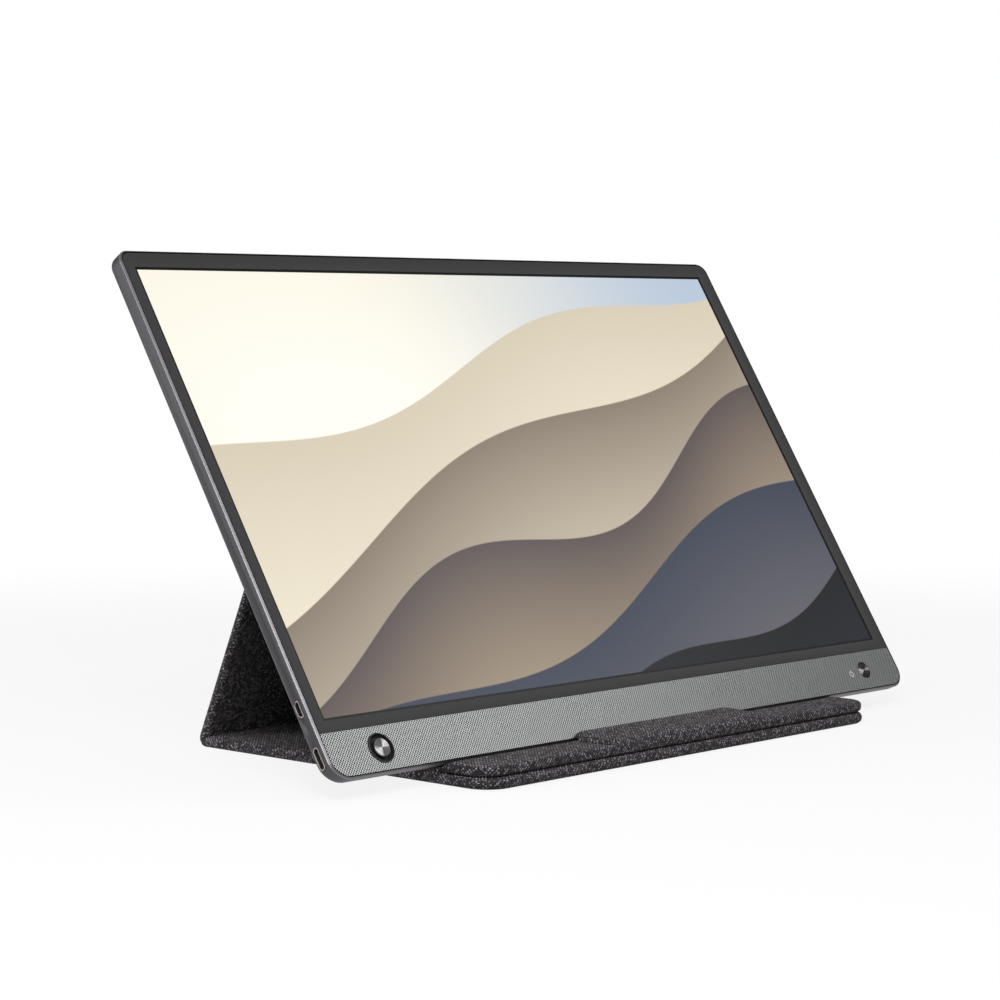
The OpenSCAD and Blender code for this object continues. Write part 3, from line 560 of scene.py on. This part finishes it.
# camera and stage come before the pieces
view = {"place": (-0.85163, -0.7606, 0.17396), "yaw": -47.2807, "pitch": 5.8566, "shift": 0.1,
        "lens": 98.129, "sensor": 36, "near": 0.05}
bpy.ops.object.camera_add(location=view["place"], rotation=(
    math.radians(90 - view["pitch"]), 0, math.radians(view["yaw"])))
camera = bpy.context.object
camera.data.lens = view["lens"]
camera.data.sensor_width = view["sensor"]
camera.data.shift_y = view["shift"]
camera.data.clip_start = view["near"]
bpy.context.scene.camera = camera

studio = {"radius": 9, "glow": 0.84, "shadowBegins": 0.36, "shadowEnds": 0.9, "paint": 0.86,
          "bounce": 0.15, "ambient": 0.25, "aim": (0, 0, 0.09)}
softLights = [
    {"name": "keyLight", "place": (-0.7, -0.6, 0.65), "size": 0.5, "power": 6.7},
    {"name": "topLight", "place": (-0.2, 0.1, 1.6), "size": 1.2, "power": 3.0},
    {"name": "glanceLight", "place": (0.67, -0.59, 0.69), "size": 0.45, "power": 2.2},
    {"name": "edgeLight", "place": (-1.0, 0.5, 0.42), "size": 0.5, "power": 5.6}]


def addStage():
    # a pale floor that keeps a soft shadow and fades into the white background
    deselectAll()
    bpy.ops.mesh.primitive_circle_add(vertices=96, radius=studio["radius"], fill_type="NGON")
    floor = current("studioFloor")
    material = bpy.data.materials.new("Pale studio floor")
    material.use_nodes = True
    tree = material.node_tree
    tree.nodes.clear()
    seen = addNode(tree, "LightPath").node.outputs
    direct = addNode(tree, "Math", seen["Is Camera Ray"], seen["Is Glossy Ray"],
                     operation="MAXIMUM")
    away = addNode(tree, "VectorMath", addNode(tree, "TexCoord", output="Object"),
                   operation="LENGTH", output="Value")
    glowShare = addNode(tree, "MapRange", away, studio["shadowBegins"], studio["shadowEnds"],
                        studio["glow"], 1.0, interpolation_type="SMOOTHSTEP")
    tone = addNode(tree, "Math", direct, studio["paint"] - studio["bounce"], studio["bounce"],
                   operation="MULTIPLY_ADD")
    paint = addNode(tree, "BsdfDiffuse", addNode(tree, "CombineColor", tone, tone, tone))
    glow = addNode(tree, "Emission", hexColour("#ffffff"), 1.0)
    addNode(tree, "OutputMaterial", addNode(tree, "MixShader", addNode(
        tree, "Math", direct, glowShare, operation="MULTIPLY"), paint, glow))
    floor.data.materials.append(material)
    world = bpy.data.worlds.new("Studio")
    bpy.context.scene.world = world
    world.use_nodes = True
    tree = world.node_tree
    tree.nodes.clear()
    seen = addNode(tree, "LightPath").node.outputs
    direct = addNode(tree, "Math", seen["Is Camera Ray"], seen["Is Transmission Ray"],
                     operation="MAXIMUM")
    strength = addNode(tree, "Math", direct, 1.0 - studio["ambient"], studio["ambient"],
                       operation="MULTIPLY_ADD")
    addNode(tree, "OutputWorld", addNode(tree, "Background", hexColour("#ffffff"), strength))


def addLights():
    for light in softLights:
        bpy.ops.object.light_add(type="AREA", location=light["place"])
        lamp = bpy.context.object
        lamp.name = light["name"]
        lamp.data.shape = "DISK"
        lamp.data.size = light["size"]
        lamp.data.energy = light["power"]
        aim = Vector(studio["aim"]) - Vector(light["place"])
        lamp.rotation_euler = aim.to_track_quat("-Z", "Y").to_euler()


addStage()
addLights()
print("stage ready")


# the monitor's pieces
def roundedPlate(name, low, high, z, radii):
    # a flat plate whose corners have their own radii: low left, low right, high right, high left
    deselectAll()
    bpy.ops.mesh.primitive_plane_add(size=1)
    piece = current(name)
    size = [h - l for l, h in zip(low, high)]
    middle = [(h + l) / 2 for l, h in zip(low, high)]
    piece.data.transform(Matrix.Translation((*middle, z)) @ Matrix.Diagonal((*size, 1, 1)))
    corners = [(low[0], low[1]), (high[0], low[1]), (high[0], high[1]), (low[0], high[1])]
    for corner, radius in zip(corners, radii):
        if radius > 0:
            editStart(piece)
            pick(piece, "vertices", lambda v: abs(v.co.x - corner[0]) < near
                 and abs(v.co.y - corner[1]) < near)
            bpy.ops.mesh.bevel(offset=radius, segments=12, affect="VERTICES",
                               offset_type="OFFSET")
            editEnd()
    return piece


def raisePlate(piece, depth):
    # gives the plate thickness along z
    editStart(piece, "FACE")
    bpy.ops.mesh.select_all(action="SELECT")
    bpy.ops.mesh.extrude_region_move(TRANSFORM_OT_translate={"value": (0, 0, depth)})
    bpy.ops.mesh.select_all(action="SELECT")
    bpy.ops.mesh.normals_make_consistent(inside=False)
    editEnd()


def rimEdges(piece, z):
    return lambda edge: all(abs(p.z - z) < near for p in ends(piece, edge))


ports = {"lowerHeight": 11.1, "lowerWidth": 9.1, "lowerThick": 3.2, "upperHeight": 31.1,
         "upperWidth": 6.7, "upperThick": 3.0, "depth": 4.35, "reach": 2.0,
         "keyCorner": 0.45, "roundCorner": 0.49}


def cutSocket(piece, height, width, thick, keyed):
    # the opening follows its socket: a stadium, or a block keyed by two slanting rear corners
    side = -case["width"] / 2
    cutter = addBlock("socketCutter", (side - ports["reach"], height - width / 2, -thick / 2),
                      (side + ports["reach"], height + width / 2, thick / 2))
    editStart(cutter, "EDGE")
    pick(cutter, "edges", lambda e: abs(reachOf(cutter, e).x) > 1
         and (not keyed or ends(cutter, e)[0].z < 0))
    share, steps = (ports["keyCorner"], 1) if keyed else (ports["roundCorner"], 8)
    bpy.ops.mesh.bevel(offset=thick * share, segments=steps, affect="EDGES")
    editEnd()
    cutter.data.transform(Matrix.Translation((0, 0, -ports["depth"])))
    cleanUp(cutter)
    applyModifier(piece, "BOOLEAN", object=cutter, operation="DIFFERENCE", solver="EXACT")
    bpy.data.objects.remove(cutter)


def addCase():
    # a one-piece tray with a bright bevelled rim, open at the front
    halfWidth = case["width"] / 2
    radii = [case["bottomRadius"]] * 2 + [case["topRadius"]] * 2
    shell = roundedPlate("rearShell", (-halfWidth, 0), (halfWidth, case["height"]),
                         -case["thickness"], radii)
    raisePlate(shell, case["thickness"])
    editStart(shell, "EDGE")
    pick(shell, "edges", rimEdges(shell, -case["thickness"]))
    bpy.ops.mesh.bevel(offset=case["backRadius"], segments=8, affect="EDGES",
                       clamp_overlap=False)
    pick(shell, "edges", rimEdges(shell, 0))
    bpy.ops.mesh.bevel(offset=case["rim"], segments=1, affect="EDGES", clamp_overlap=False)
    # the open tray behind the face
    pick(shell, "polygons", lambda f: abs(f.center.z) < near and f.normal.z > 0.9)
    bpy.ops.mesh.inset(thickness=case["lip"])
    bpy.ops.mesh.extrude_region_move(
        TRANSFORM_OT_translate={"value": (0, 0, case["wall"] - case["thickness"])})
    floorZ = case["wall"] - case["thickness"]
    pick(shell, "edges", rimEdges(shell, floorZ))
    bpy.ops.mesh.bevel(offset=case["backRadius"] - case["wall"], segments=5, affect="EDGES",
                       clamp_overlap=False)
    editEnd()
    # a cage of eight points draws the bottom wall in towards the back
    bpy.ops.object.add(type="LATTICE", location=(0, case["height"] / 2, -case["thickness"] / 2))
    cage = bpy.context.object
    cage.scale = (case["width"], case["height"], case["thickness"])
    for way in "uvw":
        setattr(cage.data, "interpolation_type_" + way, "KEY_LINEAR")
    for point in cage.data.points:
        if point.co.y < 0 and point.co.z < 0:
            point.co_deform.y += case["draft"] / case["height"]
    applyModifier(shell, "LATTICE", object=cage)
    bpy.data.objects.remove(cage)
    cleanUp(shell, 30)
    for port in ("lower", "upper"):
        cutSocket(shell, ports[port + "Height"], ports[port + "Width"], ports[port + "Thick"],
                  keyed=port == "upper")
    shell.data.materials.append(caseMetal)
    shell.data.materials.append(rimMetal)
    for face in shell.data.polygons:
        slanted = 0.5 < face.normal.z < 0.85
        face.material_index = 1 if slanted and face.center.z > case["rimLow"] else 0
    settle(shell, onMonitor, "monitor", "case_metal", (), ["rear_shell"])


def addFrontFrame():
    # a thin plate with a window for the picture
    inset = case["wall"] + case["groove"]
    left, right = -case["width"] / 2 + inset, case["width"] / 2 - inset
    top = case["height"] - inset
    radius = case["topRadius"] - inset
    plate = roundedPlate("frontFrame", (left, case["chin"]), (right, top), -case["rim"],
                         [0, 0, radius, radius])
    halfWindow = screen["width"] / 2 + screen["border"]
    windowLow = screen["pictureLow"] - screen["border"]
    windowHigh = screen["pictureLow"] + screen["height"] + screen["border"]
    cuts = [((screen["shift"] - halfWindow, 0, 0), (1, 0, 0)),
            ((screen["shift"] + halfWindow, 0, 0), (1, 0, 0)),
            ((0, windowLow, 0), (0, 1, 0)), ((0, windowHigh, 0), (0, 1, 0))]
    editStart(plate)
    for point, normal in cuts:
        bpy.ops.mesh.select_all(action="SELECT")
        bpy.ops.mesh.bisect(plane_co=point, plane_no=normal)
    pick(plate, "polygons", lambda f: abs(f.center.x - screen["shift"]) < halfWindow
         and windowLow < f.center.y < windowHigh)
    bpy.ops.mesh.delete(type="FACE")
    editEnd()
    raisePlate(plate, case["rim"])
    editStart(plate, "EDGE")
    pick(plate, "edges", lambda e: rimEdges(plate, 0)(e) and sharpEdge(plate, e))
    bpy.ops.mesh.bevel(offset=case["softEdge"], segments=2, affect="EDGES")
    editEnd()
    cleanUp(plate, 30)
    settle(plate, onMonitor, "monitor", "frame_plastic", [framePlastic], ["front_frame"])


def sharpEdge(piece, edge):
    # true where a face that looks up meets one that looks sideways
    key = tuple(sorted(edge.vertices))
    normals = [f.normal for f in piece.data.polygons if key in
               [tuple(sorted(k)) for k in f.edge_keys]]
    return len(normals) == 2 and abs(normals[0].z - normals[1].z) > 0.5


controls = {"stickX": -152.0, "powerX": 154.0, "height": 10.1, "ring": 12.2, "well": 10.9,
            "cap": 7.6, "button": 7.8}
strip = {"gap": 0.05, "low": -0.7, "thick": 0.6, "stickHole": 5.55, "powerHole": 4.05}


def addStrip():
    # the sheet below the screen, with a round hole for each control
    inset = case["wall"] + case["groove"]
    left, right = -case["width"] / 2 + inset, case["width"] / 2 - inset
    radius = case["bottomRadius"] - inset
    plate = roundedPlate("perforatedStrip", (left, inset),
                         (right, case["chin"] - strip["gap"]), strip["low"],
                         [radius, radius, 0, 0])
    raisePlate(plate, strip["thick"])
    for control in ("stick", "power"):
        deselectAll()
        bpy.ops.mesh.primitive_cylinder_add(
            vertices=64, radius=strip[control + "Hole"], depth=4,
            location=(controls[control + "X"], controls["height"], 0))
        cutter = current("roundCutter")
        applyModifier(plate, "BOOLEAN", object=cutter, operation="DIFFERENCE", solver="EXACT")
        bpy.data.objects.remove(cutter)
    cleanUp(plate, 30)
    settle(plate, onMonitor, "monitor", "strip_metal", [stripSheet], ["grille_strip"])


# each control's painted highlight: its angle, its spread and its dark and light colours
stickMetal = spunMetalWithPaintedHighlight("Spun metal cap", controls["stickX"], controls["height"], {
    "axis": 33, "from": -0.3, "to": 1.3, "dark": "#525153", "light": "#d6d3d3"})
buttonMetal = spunMetalWithPaintedHighlight("Spun metal button", controls["powerX"], controls["height"], {
    "axis": 11, "from": 0.35, "to": 1.3, "dark": "#2a282a", "light": "#b9aea9"})


def addControls():
    # each outline is a list of radius and height pairs
    centre = (controls["stickX"], controls["height"], 0)
    wellR, ringR = controls["well"] / 2, controls["ring"] / 2
    ring = addTurned("joystickRing", [
        (1.9, -1.9), (5.5, -1.9), (5.5, -0.1), (ringR, -0.1), (ringR, 0.12),
        (ringR - 0.08, 0.26), (ringR - 0.22, 0.35), (wellR + 0.3, 0.35), (wellR + 0.12, 0.28),
        (wellR, 0.05), (wellR, -1.2), (wellR - 0.3, -1.5), (1.9, -1.5), (1.9, -1.9)], centre)
    cleanUp(ring, 40)
    ring.data.materials.append(ringPlastic)
    ring.data.materials.append(wellPlastic)
    for face in ring.data.polygons:
        face.material_index = 1 if face.center.z < 0.1 else 0
    settle(ring, onMonitor, "monitor", "ring_plastic", [ringPlastic], ["nav_ring"])
    capR = controls["cap"] / 2
    cap = addTurned("joystickCap", [
        (0.9, -4.45), (0.9, -0.4), (capR - 0.3, -0.4), (capR, 0.08), (capR, 0.46),
        (capR - 0.08, 0.6), (capR - 0.24, 0.68), (capR - 0.5, 0.7), (1.6, 0.62), (0.3, 0.58)],
        centre)
    closeEnds(cap)
    cleanUp(cap, 40)
    settle(cap, onMonitor, "stick_cap", "control_metal", [stickMetal], ["nav_cap"])
    buttonR = controls["button"] / 2
    button = addTurned("powerButton", [
        (1.2, -3.85), (1.2, -1.25), (4.65, -1.25), (4.65, -0.78), (buttonR, -0.75),
        (buttonR, -0.04), (buttonR - 0.06, 0.05), (buttonR - 0.2, 0.1), (1.6, 0.04),
        (0.3, 0.02)], (controls["powerX"], controls["height"], 0))
    closeEnds(button)
    cleanUp(button, 40)
    settle(button, onMonitor, "power_button", "control_metal", [buttonMetal], ["power_button"])


def addPowerMark():
    # the usual power sign: an open ring with a short stroke, printed a hair's breadth proud
    mark = {"x": 143.8, "y": 9.1, "radius": 1.5, "line": 0.5, "thick": 0.06, "opening": 0.55,
            "strokeLow": 0.2, "strokeHigh": 1.9, "colour": "#d4d6d6"}
    deselectAll()
    bpy.ops.mesh.primitive_circle_add(vertices=40, radius=mark["radius"])
    piece = current("powerMark")
    editStart(piece)
    pick(piece, "vertices", lambda v: v.co.y > 0 and abs(v.co.x) < mark["opening"])
    bpy.ops.mesh.delete(type="VERT")
    bpy.ops.mesh.select_all(action="SELECT")
    bpy.ops.mesh.extrude_region_move(TRANSFORM_OT_translate={"value": (0, 0, 0)})
    bpy.ops.transform.resize(value=[1 - mark["line"] / mark["radius"]] * 2 + [1],
                             center_override=(0, 0, 0))
    editEnd()
    bar = addBlock("powerStroke", (-mark["line"] / 2, mark["strokeLow"], -mark["thick"] / 2),
                   (mark["line"] / 2, mark["strokeHigh"], mark["thick"] / 2))
    applyModifier(piece, "SOLIDIFY", thickness=mark["thick"], offset=0)
    deselectAll()
    bar.select_set(True)
    piece.select_set(True)
    bpy.context.view_layer.objects.active = piece
    bpy.ops.object.join()
    piece.data.transform(Matrix.Translation((mark["x"], mark["y"],
                                             strip["low"] + strip["thick"])))
    cleanUp(piece, 30)
    ink = mouldedPlastic("Pale grey ink", mark["colour"], roughness=0.5)
    settle(piece, onMonitor, "monitor", "strip_metal", [ink])


addCase()
addFrontFrame()
addStrip()
addControls()
addPowerMark()
print("monitor ready")


# the folio's values, in millimetres
folio = {"width": 245.5, "thick": 4.6, "baseLength": 161.7, "freeRadius": 12.0,
         "foldRadius": 4.5, "footRelief": 1.3, "foldShare": 0.99, "edgeRound": 0.47,
         "step": 1.0, "gap": 0.3, "seam": 0.4, "layerRound": 0.36, "brow": 0.8, "web": 0.9,
         "webInset": 2.0}
rearAxis = jointPoint("rear_fold_hinge")
apexAxis = jointPoint("apex_fold_hinge")
footAxis = jointPoint("foot_fold_hinge")
frontY = rearAxis.y - folio["baseLength"]
propReach = apexAxis - rearAxis
propTurn = math.atan2(propReach.z, propReach.y)
slantReach = apexAxis - footAxis
slantTurn = math.atan2(slantReach.z, slantReach.y)
half = folio["thick"] / 2
lipY = frontY + folio["step"]
lipTop = 2 * folio["thick"]

fabricBase = wovenFabric("Heathered twill, flat panels", (0, 0, 0), 0.0)
fabricProp = wovenFabric("Heathered twill, prop", (0, rearAxis.y, rearAxis.z), propTurn)
fabricSlant = wovenFabric("Heathered twill, slant", (0, footAxis.y, footAxis.z), slantTurn)


def addPad(name, width, length, thick, nearRadius, farRadius, edgeRound=folio["edgeRound"]):
    # a padded panel: rounded outline, thickness, then round edges
    pad = roundedPlate(name, (-width / 2, 0), (width / 2, length), -thick / 2,
                       [nearRadius, nearRadius, 0, 0])
    for side in (-width / 2, width / 2):
        editStart(pad)
        pick(pad, "vertices", lambda v: abs(v.co.x - side) < near and v.co.y > length - near)
        bpy.ops.mesh.bevel(offset=farRadius, segments=10, affect="VERTICES")
        editEnd()
    raisePlate(pad, thick)
    editStart(pad, "EDGE")
    pick(pad, "edges", lambda e: rimEdges(pad, -thick / 2)(e) or rimEdges(pad, thick / 2)(e))
    bpy.ops.mesh.bevel(offset=thick * edgeRound, segments=8, affect="EDGES", clamp_overlap=False)
    editEnd()
    cleanUp(pad, 50)
    return pad


def addRibbon(name, width, outline, thick):
    # a strip of cloth: one edge is drawn out through the outline's y and z pairs
    deselectAll()
    bpy.ops.mesh.primitive_plane_add(size=width)
    ribbon = current(name)
    editStart(ribbon)
    pick(ribbon, "vertices", lambda v: v.co.y > 0)
    bpy.ops.mesh.delete(type="VERT")
    editEnd()
    y, z = outline[0]
    ribbon.data.transform(Matrix.Translation((0, y + width / 2, z)))
    editStart(ribbon)
    bpy.ops.mesh.select_all(action="SELECT")
    for nextY, nextZ in outline[1:]:
        bpy.ops.mesh.extrude_region_move(
            TRANSFORM_OT_translate={"value": (0, nextY - y, nextZ - z)})
        y, z = nextY, nextZ
    editEnd()
    applyModifier(ribbon, "SOLIDIFY", thickness=thick, offset=0)
    cleanUp(ribbon, 60)
    return ribbon


def addPanels():
    # neighbours share a round edge on their fold's axis, so the cover stays closed at any angle
    end = half * folio["foldShare"]
    base = addPad("basePanel", folio["width"], folio["baseLength"] + end, folio["thick"],
                  folio["freeRadius"], folio["foldRadius"])
    settle(base, at(frontY, half, 0), "base", "fabric_cover", [fabricBase],
           ["base_sleeve", "rear_fold"])
    prop = addPad("propPanel", folio["width"], propReach.length + 2 * end, folio["thick"],
                  folio["foldRadius"], folio["foldRadius"])
    settle(prop, at(rearAxis.y, rearAxis.z, propTurn) @ Matrix.Translation((0, -end, 0)),
           "prop", "fabric_cover", [fabricProp], ["prop_sleeve", "apex_fold"])
    slant = addPad("slantPanel", folio["width"], slantReach.length + end - folio["footRelief"],
                   folio["thick"], folio["foldRadius"], folio["foldRadius"])
    settle(slant, at(footAxis.y, footAxis.z, slantTurn) @ Matrix.Translation(
        (0, folio["footRelief"], 0)), "slant", "fabric_cover", [fabricSlant], ["slant_sleeve"])


def addFrontLayer():
    # the upper layer runs on under the case, where it slopes down to the thin web
    low, high = (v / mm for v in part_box("lip_sleeve"))
    layerThick = folio["thick"] - folio["seam"]
    layer = addPad("frontLayer", folio["width"], high.y - lipY + folio["thick"],
                   layerThick, folio["freeRadius"] - folio["step"], folio["foldRadius"],
                   folio["layerRound"])
    layer.data.transform(Matrix.Translation((0, lipY, lipTop - layerThick / 2)))
    outwards = Vector((0, math.sin(lean), math.cos(lean)))
    under = Vector((0, faceY, faceZ)) - folio["gap"] * outwards
    editStart(layer)
    for point, normal in ((under, outwards), ((0, high.y, 0), (0, 1, 0))):
        bpy.ops.mesh.select_all(action="SELECT")
        bpy.ops.mesh.bisect(plane_co=point, plane_no=normal, use_fill=True, clear_outer=True)
    bpy.ops.mesh.select_mode(type="EDGE")
    brow = under.y - (lipTop - under.z) / math.tan(lean)
    pick(layer, "edges", lambda e: all(abs(p.z - lipTop) < 1e-2 and abs(p.y - brow) < 0.05
                                       for p in ends(layer, e)))
    bpy.ops.mesh.bevel(offset=folio["brow"], segments=4, affect="EDGES")
    editEnd()
    cleanUp(layer, 50)
    settle(layer, Matrix.Scale(mm, 4), "lip", "fabric_cover", [fabricBase], ["lip_sleeve"])
    # the web runs level from the layer to the foot's axis, and then up along the slant
    fold = {"into": 1.0, "level": 3.0, "bendFrom": 0.6, "bendTo": (0.5, 0.7), "rise": 0.12,
            "turn": (0.1, 0.5), "turnReach": 0.45, "up": 2.6}
    webZ = footAxis.z
    web = addRibbon("footWeb", folio["width"] - 2 * folio["webInset"], [
        (high.y - fold["into"], webZ), (footAxis.y - fold["level"], webZ),
        (footAxis.y - fold["bendFrom"], webZ), (footAxis.y, webZ + fold["rise"]),
        (footAxis.y + fold["turnReach"] * math.cos(slantTurn) + fold["turn"][0],
         webZ + fold["turn"][1]),
        (footAxis.y + fold["up"] * math.cos(slantTurn),
         webZ + fold["up"] * math.sin(slantTurn))], folio["web"])
    settle(web, Matrix.Scale(mm, 4), None, "fold_fabric", [fabricBase], ["foot_web"])
    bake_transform(web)


tongue = {"width": 103.0, "taper": 1.0, "slope": 2.2, "frontThick": 1.6, "thick": 3.0,
          "nose": 0.5, "corner": 3.0, "rim": 0.7, "hem": 0.6, "foldInset": 4.5, "foldThick": 0.5}


def addTongue():
    # a wedge that rests on the upper layer, with its rear edge against the screen's strip
    low, high = (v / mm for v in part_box("tongue_sleeve"))
    topLength = high.y - low.y
    flap = addBlock("tongueFlap", (-tongue["width"] / 2, 0, 0),
                    (tongue["width"] / 2, topLength, tongue["frontThick"]))
    # the ends draw in towards the back and the top, and the rear edge leans with the screen
    moves = []
    for side in (-1, 1):
        moves.append(((side, 1, 0), (-side * tongue["taper"], 0, 0)))
        moves.append(((side, 0, 1), (-side * tongue["slope"], 0, 0)))
    moves.append(((0, -1, 1), (0, tongue["nose"], 0)))
    moves.append(((0, 1, -1), (0, -tongue["thick"] * math.tan(lean), 0)))
    moves.append(((0, 1, 1), (0, 0, tongue["thick"] - tongue["frontThick"])))
    middle = Vector((0, topLength / 2, tongue["frontThick"] / 2))
    editStart(flap)
    for sides, move in moves:
        pick(flap, "vertices", lambda v: all(
            side * (place - centre) >= 0 for side, place, centre in zip(sides, v.co, middle)))
        bpy.ops.transform.translate(value=move)
    bpy.ops.mesh.select_mode(type="EDGE")
    pick(flap, "edges", lambda e: abs(reachOf(flap, e).z) > 0.9
         and abs(reachOf(flap, e).y) < topLength / 2)
    bpy.ops.mesh.bevel(offset=tongue["corner"], segments=6, affect="EDGES")
    pick(flap, "edges", lambda e: all(p.z > 1 for p in ends(flap, e)))
    bpy.ops.mesh.bevel(offset=tongue["rim"], segments=5, affect="EDGES", clamp_overlap=True)
    pick(flap, "edges", lambda e: all(p.z < 0.01 for p in ends(flap, e)))
    bpy.ops.mesh.bevel(offset=tongue["hem"], segments=3, affect="EDGES", clamp_overlap=True)
    editEnd()
    cleanUp(flap, 50)
    settle(flap, at(low.y, low.z, 0), "tongue", "fabric_cover", [fabricBase],
           ["tongue_sleeve"])
    top = low.z + tongue["frontThick"]
    hem = addRibbon("tongueFold", tongue["width"] - 2 * tongue["foldInset"], [
        (lipY + 0.1, lipTop - 1.7), (lipY + 0.1, lipTop - 0.9), (lipY + 0.35, lipTop),
        (lipY + 0.85, lipTop + 0.8), (lipY + 1.7, top - 0.2), (lipY + 3.0, top + 0.05),
        (lipY + 5.0, top + 0.25), (lipY + 6.5, top + 0.25)], tongue["foldThick"])
    settle(hem, Matrix.Scale(mm, 4), None, "fold_fabric", [fabricBase], ["tongue_fold"])
    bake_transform(hem)


addPanels()
addFrontLayer()
addTongue()
print("folio ready")

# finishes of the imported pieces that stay
keptFinishes = [
    (panelPicture, ["lcd_cell"]),
    (opticFilm, ["diffuser_sheets", "light_guide", "reflector_sheet"]),
    (trayMetal, ["panel_tray", "shield_can", "holding_plates", "lip_plate"]),
    (boardLacquer, ["led_bar", "timing_board", "main_board", "nav_board", "power_board"]),
    (flexFilm, ["display_flex"]),
    (portPlating, ["usb_c_shell", "micro_hdmi_shell"]),
    (blackPlastic, ["usb_c_tongue", "micro_hdmi_tongue", "speakers", "nav_switch_base",
                    "nav_gimbal", "nav_hub", "power_switch"]),
    (screwSteel, ["screws"]),
    (magnetPlating, ["base_magnets", "slant_magnets"]),
    (boardCore, ["base_stiffener", "prop_stiffener", "slant_stiffener", "tongue_stiffener"])]
for material, names in keptFinishes:
    for name in names:
        nodes[name].data.materials.clear()
        nodes[name].data.materials.append(material)
print("finishes set")

bpy.context.scene.view_settings.view_transform = "Standard"
